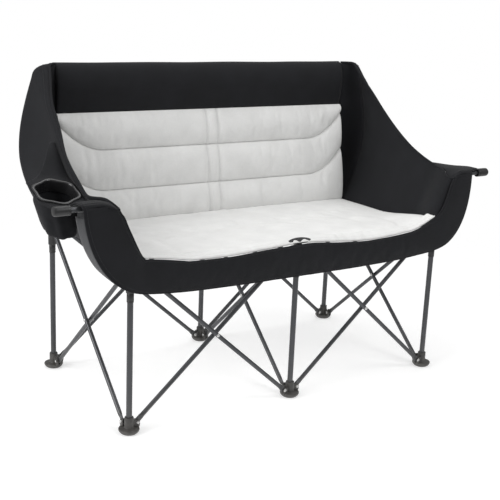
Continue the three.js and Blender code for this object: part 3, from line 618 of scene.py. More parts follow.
bars = {"radius": 6.5, "side": 7.0, "tabHalf": 2.5, "tabWide": 8.0, "flatTo": 14.0, "roundFrom": 26.0,
        "square": 5.0, "round": 2.0, "rivetOut": 13.2, "rivetRadius": 5.6, "rivetHeight": 2.6,
        "stations": [-8, -7.8, -7.2, -6, -4, -1.5, 2, 8, 14, 16, 18, 20, 22, 24, 26, 30]}


def barRing(centre, side, up, thick, wide, squareness, count=22):
    power = 2 / squareness
    ring = []
    for turn in around(count):
        c, s = math.cos(turn), math.sin(turn)
        ring.append(centre + side * math.copysign(abs(c) ** power, c) * thick
                    + up * math.copysign(abs(s) ** power, s) * wide)
    return ring


def barMesh(start, end, side):
    # a round tube with flattened ends, rounded at the tips
    span = (end - start).length
    ahead = (end - start) / span
    up = side.cross(ahead)
    rings = []
    for s in bars["stations"] + [60, span / 2] + [span - s for s in reversed(bars["stations"])]:
        near = min(s, span - s)
        roundness = ramp(near, bars["flatTo"], bars["roundFrom"] - bars["flatTo"])
        thick = lerp(bars["tabHalf"], bars["radius"], roundness)
        wide = lerp(bars["tabWide"], bars["radius"], roundness)
        if near < 0:
            wide = max(0.5, math.sqrt(max(0.0, bars["tabWide"] ** 2 - near ** 2)))
        squareness = lerp(bars["square"], bars["round"], roundness)
        rings.append(barRing(start + ahead * s, side, up, thick, wide, squareness))
    return lofted(rings)


for pair in pairs:
    near, far, along, side = pairFrame(pair)
    for order, low, high, way in (("first", near, far, 1), ("second", far, near, -1)):
        out, aside = along * way * pivots["out"], side * way * bars["side"]
        start = low + out + aside + upward * pivots["foot"]
        end = high - out + aside + upward * pivots["hub"]
        bar = newPiece("crossTube_" + pair + "_" + order, *barMesh(start, end, side), powderCoat, 42)
        mount(bar, pair + "_bar_" + order, "cross_bar_" + pair + "_" + order)
    middle = (near + far) / 2 + upward * (pivots["foot"] + pivots["hub"]) / 2
    spots = [(middle + facing * bars["rivetOut"], facing) for facing in (side, -side)]
    crossing = rivetHeads("crossingRivet_" + pair, spots, bars["rivetRadius"], bars["rivetHeight"])
    mount(crossing, pair + "_bar_first", "cross_rivet_" + pair)

armCap = {"start": 722,
          "profile": [(7.4, 0), (12.7, 0), (13.5, 1), (13.5, 4), (12.5, 4.7), (12.5, 7.4), (13.5, 8.2),
                      (13.5, 38), (13, 42.4), (11.4, 45), (8, 46), (0, 46), (0, 32.4), (7.4, 32.4)]}
for hand, way in hands.items():
    points, faces = turned(armCap["profile"], 28)
    points = [(way * (armCap["start"] + along), across - legSpacing / 2, up + tubes["armHeight"])
              for across, up, along in points]
    cap = newPiece("armTubeCap_" + hand, points, faces, blackPlastic, 38)
    mount(cap, "front_" + hand + "_upper", "arm_cap_" + hand)


# cloth: a padded shell has a face and a back over one grid, joined round the edge

clothFeel = {"quality": 4, "mass": 0.25, "tension_stiffness": 18, "compression_stiffness": 18,
             "shear_stiffness": 6, "bending_stiffness": 0.6, "vertex_group_mass": "held",
             "use_pressure": True}


class Padded:
    def __init__(self, name, columns, rows, placeAt, faceAt, backAt, finish, outward, hole=None):
        # columns and rows are the grid's shares; faceAt and backAt are thicknesses either side of placeAt
        self.columns, self.rows = columns, rows
        self.wide, self.tall = len(columns), len(rows)
        self.count = self.wide * self.tall
        grid = [[Vector(placeAt(u, v)) for u in columns] for v in rows]
        cells = [(i, j) for j in range(self.tall - 1) for i in range(self.wide - 1)]
        if hole:
            cells = self.cutHole(grid, cells, *hole)
        isInward = self.normalAt(grid, self.tall // 2, self.wide // 2).dot(Vector(outward)) < 0
        face, back, uvs = [], [], []
        climbs = [0.0] * self.wide
        for j, v in enumerate(rows):
            run = 0.0
            for i, u in enumerate(columns):
                if i:
                    run += (grid[j][i] - grid[j][i - 1]).length
                if j:
                    climbs[i] += (grid[j][i] - grid[j - 1][i]).length
                normal = self.normalAt(grid, j, i) * (-1 if isInward else 1)
                face.append(grid[j][i] + normal * faceAt(u, v))
                back.append(grid[j][i] - normal * backAt(u, v))
                uvs.append((run * mm, climbs[i] * mm))
        faces = []
        kept = set(cells)
        self.used = set()
        for i, j in cells:
            a, b = j * self.wide + i, (j + 1) * self.wide + i
            corners = [a, a + 1, b + 1, b]
            self.used.update(corners)
            faces.append(corners)
            faces.append([self.count + c for c in reversed(corners)])
            for k, (right, up) in enumerate(((0, -1), (1, 0), (0, 1), (-1, 0))):
                if (i + right, j + up) not in kept:
                    near, far = corners[k], corners[(k + 1) % 4]
                    faces.append([far, near, self.count + near, self.count + far])
        self.piece = newPiece(name, face + back, faces, finish, None, uvs + uvs)

    def normalAt(self, grid, j, i):
        right = grid[j][min(i + 1, self.wide - 1)] - grid[j][max(i - 1, 0)]
        up = grid[min(j + 1, self.tall - 1)][i] - grid[max(j - 1, 0)][i]
        return right.cross(up).normalized()

    def cutHole(self, grid, cells, centre, axis, radius):
        # drops the cells inside a round hole and draws the corners left in it out to its edge
        def fromAxis(p):
            away = p - centre
            return away - axis * away.dot(axis)

        def middle(i, j):
            return (grid[j][i] + grid[j][i + 1] + grid[j + 1][i] + grid[j + 1][i + 1]) / 4

        kept = [(i, j) for i, j in cells if fromAxis(middle(i, j)).length > radius]
        for i, j in {(i + a, j + b) for i, j in kept for a in (0, 1) for b in (0, 1)}:
            away = fromAxis(grid[j][i])
            if away.length < radius:
                grid[j][i] += away * (radius / away.length - 1)
        return kept

    def trim(self):
        # removes the points that a hole leaves unused
        work = bmesh.new()
        work.from_mesh(self.piece.data)
        bmesh.ops.delete(work, geom=[v for v in work.verts if not v.link_faces], context="VERTS")
        work.to_mesh(self.piece.data)
        work.free()

    def crisp(self, column=None, row=None):
        # keeps the shading flat up to an end where the cloth runs on in the next piece
        for edge in self.piece.data.edges:
            spots = [(index % self.wide, index // self.wide) for index in edge.vertices]
            if max(edge.vertices) < self.count and all(i == column or j == row for i, j in spots):
                edge.use_edge_sharp = True

    def lifted(self, index, lift):
        # a point of the face, in metres, lifted off the cloth
        vertex = self.piece.data.vertices[index]
        return vertex.co + vertex.normal * lift * mm

    def rowLine(self, j, lift):
        return [self.lifted(j * self.wide + i, lift) for i in range(self.wide)]

    def columnLine(self, i, lift):
        # one column, short of both ends
        return [self.lifted(j * self.wide + i, lift) for j in range(1, self.tall - 1)]

    def rowRuns(self, j, lift):
        # one row, split where a hole cuts it
        runs = [[]]
        for i in range(self.wide):
            index = j * self.wide + i
            if index in self.used:
                runs[-1].append(self.lifted(index, lift))
            elif runs[-1]:
                runs.append([])
        return [run for run in runs if len(run) > 1]

    def relax(self, free, pressure, slack, cap, frames):
        # cloth simulation of the face; free says how loose a grid point is, the back stays put
        piece, scene = self.piece, bpy.context.scene
        held = piece.vertex_groups.new(name="held")
        for j, v in enumerate(self.rows):
            for i, u in enumerate(self.columns):
                held.add([j * self.wide + i], 1.0 - clamp(free(u, v)), "REPLACE")
        held.add(list(range(self.count, 2 * self.count)), 1.0, "REPLACE")
        modifier = piece.modifiers.new("puff", "CLOTH")
        for label, value in clothFeel.items():
            setattr(modifier.settings, label, value)
        modifier.settings.uniform_pressure_force = pressure
        modifier.settings.shrink_min = -slack
        modifier.settings.effector_weights.gravity = 0
        modifier.collision_settings.use_collision = False
        modifier.point_cache.frame_start = 1
        modifier.point_cache.frame_end = frames
        for number in range(1, frames + 1):
            scene.frame_set(number)
        shape = piece.evaluated_get(bpy.context.evaluated_depsgraph_get()).to_mesh()
        places = [v.co.copy() for v in shape.vertices]
        piece.modifiers.remove(modifier)
        for vertex, place in zip(piece.data.vertices, places):
            move = place - vertex.co
            if move.length > cap * mm:
                move *= cap * mm / move.length
            vertex.co += move
        piece.vertex_groups.remove(held)
        piece.data.update()
        scene.frame_set(1)
        print("  relaxed", piece.name)


def middleFree(u, v):
    return 3 * swell(u) * swell(v)


# back pad: three puffs between curved sewn lines
backPad = {"half": 542.0, "foot": 477.5, "top": 821.2, "rearFoot": 217.0, "rearTop": 267.6, "behind": 4.0,
           "lines": (103.0, 228.0), "climb": 85.0, "bend": 150.0, "columns": 150, "bandRows": (18, 20, 18),
           "thick": 31.0, "valley": 0.42, "puffPower": 0.34, "topPuff": 0.62, "endLoft": 0.88, "seam": 22.0,
           "seamDepth": 0.33, "seamWidth": 7.0, "creases": (0.7, 16.0, 27.0), "soft": (1.8, 110.0)}
bandRows = backPad["bandRows"]
lastBand = len(bandRows) - 1


def backEdges(x):
    # heights where the puffs meet, from the foot to the top; the sewn lines climb at the sides
    climb = max(0.0, (abs(x) - (backPad["half"] - backPad["bend"])) / backPad["bend"])
    sewn = [backPad["foot"] + line + backPad["climb"] * climb ** 2 for line in backPad["lines"]]
    return [backPad["foot"], *sewn, backPad["top"]]


def backBand(v):
    band = min(lastBand, int(v))
    return band, v - band


def backPlace(u, v):
    x = lerp(-backPad["half"], backPad["half"], u)
    band, share = backBand(v)
    edges = backEdges(x)
    z = lerp(edges[band], edges[band + 1], share)
    lean = (z - backPad["foot"]) / (backPad["top"] - backPad["foot"])
    return x, lerp(backPad["rearFoot"], backPad["rearTop"], lean) - backPad["behind"], z


def backFace(u, v):
    x, y, z = backPlace(u, v)
    band, share = backBand(v)
    puff = lerp(backPad["valley"], 1, swell(share, backPad["puffPower"]))
    if band == lastBand:
        puff = max(puff, backPad["topPuff"] * ease(share * 2))  # stays full under the head band
    loft = backPad["thick"] * puff * lerp(backPad["endLoft"], 1, swell(u, 0.3))
    loft *= 1 - backPad["seamDepth"] * bell(abs(x) - backPad["seam"], backPad["seamWidth"])
    away = min(abs(z - edge) for edge in backEdges(x))
    depth, size = backPad["soft"]
    soft = depth * wobble(x + z, z - x * 0.4, 3.0, size)
    return loft - backPad["behind"] + pucker(x, away, *backPad["creases"], band + 1.0) + soft


def backFree(u, v):
    band, share = backBand(v)
    return min(1.0, 3 * swell(share)) * min(1.0, 4 * swell(u))


rowShares = [band + (0.5 - 0.5 * math.cos(math.pi * k / count))  # closer together at the seams
             for band, count in enumerate(bandRows) for k in range(count)] + [float(len(bandRows))]
quilted = Padded("backQuilt", steps(0, 1, backPad["columns"]), rowShares, backPlace, backFace,
                 lambda u, v: -0.5, paleCloth, (0, -1, 0))
quilted.crisp(column=0)
quilted.crisp(column=backPad["columns"])
quilted.relax(backFree, 3.0, 0.008, 3.0, 14)
seamShare = backPad["seam"] / backPad["half"] / 2
seams = [quilted.rowLine(j, 0.3) for j in (bandRows[0], bandRows[0] + bandRows[1])]
seams += [quilted.columnLine(round(backPad["columns"] * u), 0.3) for u in (0.5 - seamShare, 0.5 + seamShare)]
mount(quilted.piece, "rear_middle_upper", "back_pad", sideways)
mount(stitches("backStitches", seams, paleThread), "rear_middle_upper", None, sideways)
print("back pad done")


# head band: padded roll closed over the tops of the rear tubes
headBand = {"half": 542.0, "columns": 120, "bottom": 821.5, "plane": 267.6, "endLoft": 0.72,
            "front": (268.0, -26.0), "crown": (935.0, 30.0), "creases": (1.5, 22.0, 33.0),
            "soft": (2.0, 140.0), "crownSoft": (1.2, 160.0),
            "stitchRows": ((540, 256.5, 823.0), (541, 288.9, 946.4)),
            "section": [(266.6, 822.2), (257.5, 821.6), (248.5, 829.4), (242, 849), (237.2, 875.7),
                        (233.8, 901.5), (236.2, 927.2), (243.5, 949.8), (255, 965.8), (267, 972.5),
                        (278, 973), (286, 966.8), (289, 955), (288.6, 942.6), (286, 939.8), (283.4, 941.6),
                        (283, 954), (280, 961.2), (274, 962.7), (268.8, 959.1), (267.4, 944.7),
                        (267.2, 908.7), (267, 857.2)]}


def smoothLoop(points, per=4):
    # closed curve through the points
    count = len(points)
    out = []
    for i in range(count):
        a, b, c, d = (Vector(points[(i + k) % count]) for k in (-1, 0, 1, 2))
        for k in range(per):
            t = k / per
            bend = (2 * a - 5 * b + 4 * c - d) * t * t + (3 * b - a - 3 * c + d) * t ** 3
            out.append(0.5 * (2 * b + (c - a) * t + bend))
    return out


def headBandMesh():
    loop = smoothLoop(headBand["section"])
    lengths = [0.0]
    for a, b in zip(loop, loop[1:]):
        lengths.append(lengths[-1] + (b - a).length)
    plane = headBand["plane"]
    (depth, size), (crownDepth, crownSize) = headBand["soft"], headBand["crownSoft"]
    rings = []
    for x in steps(-headBand["half"], headBand["half"], headBand["columns"]):
        ends = lerp(headBand["endLoft"], 1, swell(0.5 + x / headBand["half"] / 2, 0.4))
        ring = []
        for y, z in loop:
            front = ramp(y, *headBand["front"])
            creases = pucker(x, max(0.0, z - headBand["bottom"]), *headBand["creases"], 5.0)
            y = plane - (plane - y) * (ends if y < plane else 1.0)
            y -= front * (creases + depth * wobble(x, z * 0.6, 1.0, size))
            z += crownDepth * wobble(x, 2.0, 7.0, crownSize) * ramp(z, *headBand["crown"])
            ring.append((x, y, z))
        rings.append(ring)
    points, faces = lofted(rings)
    uvs = [(p[0] * mm, lengths[i % len(loop)] * mm) for i, p in enumerate(points)]
    return points, faces, uvs


points, faces, uvs = headBandMesh()
roll = newPiece("headRoll", points, faces, darkCloth, None, uvs)
mount(roll, "rear_middle_upper", "head_band", sideways)
seams = [[Vector((x, y, z)) * mm for x in steps(-half, half, 90)] for half, y, z in headBand["stitchRows"]]
mount(stitches("headStitches", seams, darkThread), "rear_middle_upper", None, sideways)
print("head band done")


# back cover: one sheet behind the tubes, sewn round the corner tubes as sleeves
backCover = {"bottom": 509.5, "top": 940.1, "half": 538.0, "plane": 284.0, "belly": 7.0, "sleeve": 9.6,
             "wall": 0.9, "crease": 1.2, "creasePitch": 17.0, "creaseBow": 40.0, "creaseAt": (0.2, 0.3),
             "columns": 96, "rows": 34}
leftSleeve = arc(legs["rear_left"], backCover["sleeve"], 330, 90, 14)
coverFlat = steps(-backCover["half"], backCover["half"], backCover["columns"])
coverWay = leftSleeve + [(x, None) for x in coverFlat]
coverWay += [(-x, y) for x, y in reversed(leftSleeve)]


def coverPlace(u, v):
    x, y = coverWay[round(u * (len(coverWay) - 1))]
    z = lerp(backCover["bottom"], backCover["top"], v)
    if y is None:
        span = math.pi * x / legSpacing
        sag = swell(v) * math.sin(span) ** 2
        phase = (z - backCover["creaseBow"] * math.cos(span)) / backCover["creasePitch"]
        crease = backCover["crease"] * math.sin(phase + 2 * wobble(x, z, 2.0, 150.0))
        middle, width = backCover["creaseAt"]
        belly = backCover["belly"] * (0.85 + 0.3 * wobble(x, z, 5.0, 200.0))
        y = backCover["plane"] + sag * (belly + crease * bell(v - middle, width))
    return x, y, z


def coverWall(u, v):
    return backCover["wall"]


cover = Padded("rearCover", steps(0, 1, len(coverWay) - 1), steps(0, 1, backCover["rows"]), coverPlace,
               coverWall, coverWall, darkCloth, (0, 1, 0))
mount(cover.piece, "rear_middle_upper", "back_cover", sideways)
hemRows = [cover.rowLine(1, 0.3), cover.rowLine(3, 0.3)]
mount(stitches("coverStitches", hemRows, darkThread), "rear_middle_upper", None, sideways)
mount(binding("coverHem", [cover.rowLine(0, -0.9)], 2.4), "rear_middle_upper", None, sideways)
print("back cover done")


# seat: two halves that meet at the crease across it; the front edge sags between legs and curls up at the
# arms, by its own amount on each side (-1 left, 1 right)
seat = {"half": 542.0, "frontHalf": {-1: 525.0, 1: 547.0}, "tuckFrom": -178.0, "front": -288.5, "rear": 201.0,
        "crease": -43.75, "gap": 0.1, "under": 477.5, "raised": 489.8, "raiseAt": (-262.2, 20.0),
        "thick": 17.0, "rim": 0.35, "columns": 120, "edge": 489.0, "sag": {-1: 10.0, 1: 16.5},
        "sagAt": (-215.0, -73.5), "hubClear": 45.0, "curl": {-1: 17.0, 1: 33.0},
        "curlFrom": {-1: 380.0, 1: 440.0}, "curlTo": 540.0, "curlPower": {-1: 0.8, 1: 1.5},
        "curlFade": (-20.0, -240.0), "creases": (1.3, 26.0, 38.0), "soft": (2.4, 75.0), "fine": (1.0, 30.0)}


def seatCurl(x):
    way = wayOf(x)
    start = seat["curlFrom"][way]
    return seat["curl"][way] * clamp((abs(x) - start) / (seat["curlTo"] - start)) ** seat["curlPower"][way]


def seatSag(x):
    return seat["sag"][wayOf(x)] * math.sin(math.pi * x / legSpacing) ** 2


def frontEdge(x):
    return seat["edge"] - seatSag(x) + seatCurl(x)


def seatUnder(x, y):
    level = lerp(seat["raised"], seat["under"], ramp(y, *seat["raiseAt"]))
    clear = 1 - bell(x, seat["hubClear"])  # stays above the middle hub
    drop = (seat["raised"] - seat["edge"] + seatSag(x)) * ramp(y, *seat["sagAt"])
    return level - drop * clear + seatCurl(x) * ramp(y, *seat["curlFade"])


def seatPlace(u, y):
    tuck = ramp(y, seat["tuckFrom"], seat["front"] - seat["tuckFrom"])
    across = lerp(-1, 1, u)
    x = across * lerp(seat["half"], seat["frontHalf"][wayOf(across)], tuck)
    return x, y, seatUnder(x, y) + 1


def seatFace(u, y):
    x = seatPlace(u, y)[0]
    deep = (y - seat["front"]) / (seat["rear"] - seat["front"])
    loft = seat["thick"] * lerp(seat["rim"], 1, swell(u, 0.3) * swell(deep, 0.3))
    loft -= 0.6 * math.exp(-abs(y - seat["crease"]) / 5.0)
    edge = min(y - seat["front"], seat["rear"] - y)
    (depth, size), (fineDepth, fineSize) = seat["soft"], seat["fine"]
    soft = depth * wobble(x, y * 0.5, 6.0, size)
    soft += fineDepth * wobble(x * 0.8 + y * 0.6, y * 0.5, 2.0, fineSize)
    return loft - 1 + pucker(x, edge, *seat["creases"], 3.0) + soft * swell(u, 0.5) * swell(deep, 0.5)


def seatHalf(name, front, rear, rows, creaseRow, body, node):
    half = Padded(name, steps(0, 1, seat["columns"]), steps(0, 1, rows),
                  lambda u, v: seatPlace(u, lerp(front, rear, v)),
                  lambda u, v: seatFace(u, lerp(front, rear, v)), lambda u, v: 0.0, paleCloth, (0, 0, 1))
    half.crisp(row=creaseRow)
    half.relax(middleFree, 2.0, 0.012, 4.0, 10)
    mount(half.piece, body, node, sideways)
    return half


seatFront = seatHalf("seatFrontHalf", seat["front"], seat["crease"] - seat["gap"], 40, 40,
                     "seat_front", "seat_pad_front")
seatHalf("seatRearHalf", seat["crease"] + seat["gap"], seat["rear"], 34, 0, "seat_rear", "seat_pad_rear")
mount(stitches("seatEdgeStitches", [seatFront.rowLine(2, 0.2)], paleThread), "seat_front", None, sideways)
print("seat done")


# front band: hangs from the seat's front edge
frontBand = {"half": 515.0, "rear": -288.8, "behind": 2.0, "thick": 11.0, "rim": 0.3, "low": 392.0,
             "rise": 15.0, "columns": 130, "rows": 18, "lowCreases": (1.6, 30.0, 46.0),
             "topCreases": (1.4, 18.0, 30.0), "soft": (1.5, 90.0)}


def bandLow(x):
    return frontBand["low"] + frontBand["rise"] * (abs(x) / frontBand["half"]) ** 4


def bandPlace(u, v):
    x = lerp(-frontBand["half"], frontBand["half"], u)
    depth, size = frontBand["soft"]
    top = frontEdge(x) + depth * wobble(x, 1.0, 4.0, size)
    return x, frontBand["rear"] - frontBand["behind"], lerp(bandLow(x), top, v)


def bandFace(u, v):
    x, y, z = bandPlace(u, v)
    depth, size = frontBand["soft"]
    loft = frontBand["thick"] * lerp(frontBand["rim"], 1, swell(v, 0.5))
    folds = pucker(x, z - bandLow(x), *frontBand["lowCreases"], 7.0)
    folds += pucker(x, frontEdge(x) - z, *frontBand["topCreases"], 8.0)
    folds *= swell(clamp(v, 0.04, 0.96), 0.4)
    return loft - frontBand["behind"] + folds + depth * wobble(x, z, 8.0, size)


apron = Padded("frontApron", steps(0, 1, frontBand["columns"]), steps(0, 1, frontBand["rows"]), bandPlace,
               bandFace, lambda u, v: 1.6, darkCloth, (0, -1, 0))
apron.crisp(column=0)
apron.crisp(column=frontBand["columns"])
apron.relax(middleFree, 1.5, 0.006, 2.0, 10)
mount(apron.piece, "front_middle_upper", "front_band", sideways)
seams = [apron.rowLine(j, 0.3) for j in (1, frontBand["rows"] - 1)]
mount(stitches("apronStitches", seams, darkThread), "front_middle_upper", None, sideways)
mount(binding("apronHem", [apron.rowLine(0, -1.2)], 2.6), "front_middle_upper", None, sideways)
print("front band done")


# side panels: rise from the seat to the arm and, behind it, to the top of the back
wing = {"rear": 262.2, "front": -296.0, "bottom": 477.5, "frontTop": 665.0, "rearTop": 971.0, "columns": 64,
        "rows": 48, "foot": 550.3, "topFlare": 84.0, "backFlare": 55.0, "thick": 8.0, "runCurve": 1.4,
        "bulge": 110.0, "skew": 0.83, "bulgeReach": 0.75, "fade": 1.5, "corner": 0.14, "cornerX": 542.3,
        "climbFrom": -210.0, "curve": 1.62, "level": 27.0, "shoulder": 19.0, "shoulderAt": (-230.0, -56.0),
        "tuck": 0.2, "tuckTo": 0.96, "spread": 10.0, "spreadAt": (545.0, 67.5), "turnFrom": 0.975,
        "turnOut": {-1: 6.0, 1: 4.0}, "puff": {-1: 10.0, 1: -4.0}, "puffAt": (-150.0, 100.0),
        "dent": {-1: 17.0, 1: 0.0}, "dentAt": (-145.0, 48.0), "roll": {-1: (14.6, 28.4), 1: (0.0, 17.0)},
        "rollAt": ((-30.0, 120.0), (120.0, 130.0)), "rollShare": 0.0037, "rollDrop": 0.8}
armEdge = {"foot": 515.3, "top": 598.0, "wing": (489.5, 180.2, 1.2), "front": (510.6, 159.0, 0.48)}


def armEdgeAt(z, kind):
    # the arm front's inner edge leans out with height
    start, reach, curve = armEdge[kind]
    return lerp(armEdge["foot"], armEdge["top"], clamp((z - start) / reach) ** curve)


def shoulder(y):
    return wing["shoulder"] * ramp(y, *wing["shoulderAt"])  # the arm's inner edge rounds down to its front


def wingTop(y, way):
    span = wing["rear"] - wing["level"] - wing["climbFrom"]
    climb = clamp((y - wing["climbFrom"]) / span) ** wing["curve"]
    middle, width = wing["dentAt"]
    dent = wing["dent"][way] * bell(y - middle, width)
    return lerp(wing["frontTop"], wing["rearTop"], climb) - shoulder(y) - dent


def turnOut(z, way):
    # how far the wing's end turns out behind the arm's front
    wrap = max(0.0, armEdgeAt(z, "front") - armEdgeAt(z, "wing")) if way > 0 else 0.0
    return wing["turnOut"][way] + wrap


def wingPoint(run, rise, way):
    forward = run ** wing["runCurve"]
    y = lerp(wing["rear"], wing["front"], forward)
    top = wingTop(y, way)
    roll = sum(size * ramp(y, *reach) for size, reach in zip(wing["roll"][way], wing["rollAt"]))
    keep, drop = 1 - wing["rollShare"] * roll, wing["rollDrop"] * roll / (top - wing["bottom"])
    turn = math.pi / 2 * clamp((rise - keep) / max(0.001, 1 - keep))  # the top edge turns inward
    rise = min(1.0, rise / keep) * (1 - drop)
    z = lerp(wing["bottom"], top, rise + drop * math.sin(turn))
    rearness = max(0.0, 1 - run / wing["bulgeReach"]) ** wing["fade"]
    edge = legSpacing + lerp(wing["backFlare"], wing["topFlare"], forward)
    puff = wing["puff"][way] * ramp(y, *wing["puffAt"])
    x = lerp(wing["foot"], edge, rise) + wing["bulge"] * rearness * math.sin(math.pi * rise ** wing["skew"])
    x = lerp(x + puff * clamp(rise * 2.2), edge + puff - roll, 1 - math.cos(turn))
    x = lerp(x, wing["cornerX"], max(0.0, 1 - run / wing["corner"]) ** 2)
    spreadTop, spreadReach = wing["spreadAt"]
    tucked = armEdgeAt(z, "wing") + wing["thick"] + wing["spread"] * clamp((spreadTop - z) / spreadReach)
    x = lerp(x, tucked, ramp(forward, wing["tuckTo"] - wing["tuck"], wing["tuck"]))
    x += turnOut(z, way) * ramp(forward, wing["turnFrom"], 1 - wing["turnFrom"])
    return Vector((x, y, z))


def wingOuterAt(y, z, way):
    forward = clamp((wing["rear"] - y) / (wing["rear"] - wing["front"]))
    rise = min(1.0, (z - wing["bottom"]) / (wingTop(y, way) - wing["bottom"]))
    return wingPoint(forward ** (1 / wing["runCurve"]), rise, way).x


for hand, way in hands.items():
    def panelPlace(u, v, way=way):
        p = wingPoint(u, v, way)
        turn, inset = math.pi / 2 * clamp(u / wing["corner"]), wing["thick"] / 2
        return way * (p.x - inset * math.sin(turn)), p.y - inset * math.cos(turn), p.z

    def panelFace(u, v, way=way):
        p = wingPoint(u, v, way)
        soft = 1.5 * wobble(p.y, p.z, way * 3.0, 110.0) * swell(v, 0.6) * swell(u, 0.6)
        return 4.4 * lerp(0.35, 1, swell(u, 0.4) * swell(v, 0.4)) + soft

    def panelBack(u, v):
        return 4.2 * lerp(0.4, 1, swell(u, 0.4) * swell(v, 0.4))

    body = "arm_" + hand
    panel = Padded("sideWing_" + hand, steps(0, 1, wing["columns"]), steps(0, 1, wing["rows"]), panelPlace,
                   panelFace, panelBack, darkCloth, (way, 0, 0))
    mount(panel.piece, body, "side_panel_" + hand, endways)
    topLine = [Vector(panelPlace(u, 1.0)) * mm for u in steps(0, 1, 80)]
    mount(binding("wingEdge_" + hand, [topLine], 3.8), body, None, endways)
    seam = panel.rowLine(wing["rows"] - 2, 0.3)
    mount(stitches("wingStitches_" + hand, [seam], darkThread), body, None, endways)
print("side panels done")


# armrests: a strip over the arm tube that turns down in front of the leg and runs into the front band
armrest = {"outer": 721.7, "low": 660.4, "top": 669.7, "front": -302.8, "rear": 60.0, "gap": 3.0, "turn": 9.0,
           "behind": 4.0, "across": 26, "curveFrom": -46.0, "tip": 12.0, "taper": {-1: 0.6, 1: 2.0},
           "cornerOut": {-1: 696.0, 1: 674.0}, "cornerAt": {-1: (-265.0, 40.0), 1: (-293.0, 14.0)},
           "cornerEase": 3.0, "round": 0.55, "dipFrom": -258.6, "bend": -196.7, "dip": 36.55,
           "slope": math.tan(math.radians(20)), "climb": 48.0, "climbAt": (-45.0, 105.0),
           "widen": {-1: 30.0, 1: 0.0}, "widenAt": (-200.0, 60.0), "droop": {-1: 0.0, 1: 20.0},
           "droopAt": (-250.0, 150.0), "innerCurve": {-1: 0.75, 1: 0.48}, "meets": (0.0, 0.3),
           "stripThick": 4.5, "dropThick": 6.0, "dropBack": (2.0, 8.0),
           "dropOuter": {-1: ((515.3, 407.0), (610.0, 421.0), (688.0, 514.5), (696.0, 669.4)),
                         1: ((515.3, 407.0), (622.0, 417.0), (684.0, 497.0), (674.0, 669.4))}}
gussets = {"from": 0.32, "to": 0.92, "deep": (52.0, 36.0), "startDeep": 4.0, "flare": 9.0, "out": 0.5,
           "behind": 2.5, "wall": 0.8, "columns": 40, "rows": 8}
cupHolder = {"place": Vector((-690.0, -110.0, 664.7)), "tilt": 20.0, "hole": 57.6, "sides": 84,
             "pouchTop": -9.6, "pouchBottom": -112.0, "pouchMouth": 59.4, "pouchFoot": 43.0, "pouchWall": 1.6,
             "hangFrom": -30.3, "sway": 0.18, "lean": 0.364, "folds": 7, "around": 72, "down": 26,
             "section": [(53.5, -30), (56, -30), (57, -29), (57, -3), (58, -0.6), (60, 0.4), (62.6, 0.5),
                         (64, 1.6), (63.8, 3.4), (62, 4.6), (59.5, 5.0), (56.6, 4.8), (54.6, 3.6),
                         (53.8, 1.6), (53.5, -2)]}
tilted = Matrix.Rotation(math.radians(cupHolder["tilt"]), 3, "X")

# rows from the rear end of the strip over the front edge and down the drop
armWay = [("strip", y) for y in steps(armrest["rear"], armrest["front"] + armrest["turn"], 64)]
armWay += [("turn", math.radians(t)) for t in steps(12, 90, 6)]
armWay += [("drop", share) for share in steps(0.97, 0.0, 40)]


def bezier(points, t):
    s = 1 - t
    weights = (s ** 3, 3 * s * s * t, 3 * s * t * t, t ** 3)
    return tuple(sum(w * p[k] for w, p in zip(weights, points)) for k in (0, 1))


def armLift(y, way):
    # the strip with the cup holder dips behind the arm tube, then slopes up to the wing
    if way > 0:
        return 0.0
    dip = clamp((y - armrest["dipFrom"]) / (armrest["bend"] - armrest["dipFrom"]))
    slope = armrest["slope"] * max(0.0, y - armrest["bend"])
    return slope - armrest["dip"] * dip + armrest["climb"] * ramp(y, *armrest["climbAt"])


def dropPlace(share, v, rounding, way):
    innerHeight = lerp(frontEdge(way * frontBand["half"]) + 1, armrest["top"], share)
    inner = lerp(armEdge["foot"], armEdge["top"], share ** armrest["innerCurve"][way])
    outer, outerHeight = bezier(armrest["dropOuter"][way], share)
    y = lerp(frontBand["rear"] - frontBand["behind"], armrest["front"] + armrest["behind"],
             ramp(share, *armrest["meets"]))
    z = lerp(innerHeight, outerHeight, v) - wing["shoulder"] * rounding * ramp(share, 0.7, 0.3)
    return lerp(inner, outer, v), y, z


def turnPlace(angle, v, rounding, way):
    outer = armrest["cornerOut"][way] + armrest["cornerEase"] * math.cos(angle)
    y = armrest["front"] + armrest["behind"] + armrest["turn"] * (1 - math.sin(angle))
    z = armrest["top"] - armrest["behind"] - armrest["turn"] * (1 - math.cos(angle))
    return lerp(armEdge["top"], outer, v), y, z - wing["shoulder"] * rounding


def stripPlace(y, v, rounding, way):
    lift = armLift(y, way)
    inner = max(wingOuterAt(y, armrest[edge] + lift, way) for edge in ("low", "top")) + armrest["gap"]
    share = clamp((y - armrest["curveFrom"]) / (armrest["rear"] - armrest["curveFrom"]))
    outer = armrest["outer"] + armrest["widen"][way] * ramp(y, *armrest["widenAt"])
    outer = lerp(outer, inner + armrest["tip"], share ** armrest["taper"][way])
    corner = armrest["cornerOut"][way] + armrest["cornerEase"]
    outer = lerp(corner, outer, ramp(y, *armrest["cornerAt"][way]))
    droop = armrest["droop"][way] * v * v * ramp(y, *armrest["droopAt"])
    z = armrest["top"] - armrest["behind"] + lift - droop - shoulder(y) * rounding
    return lerp(inner, outer, v), y, z


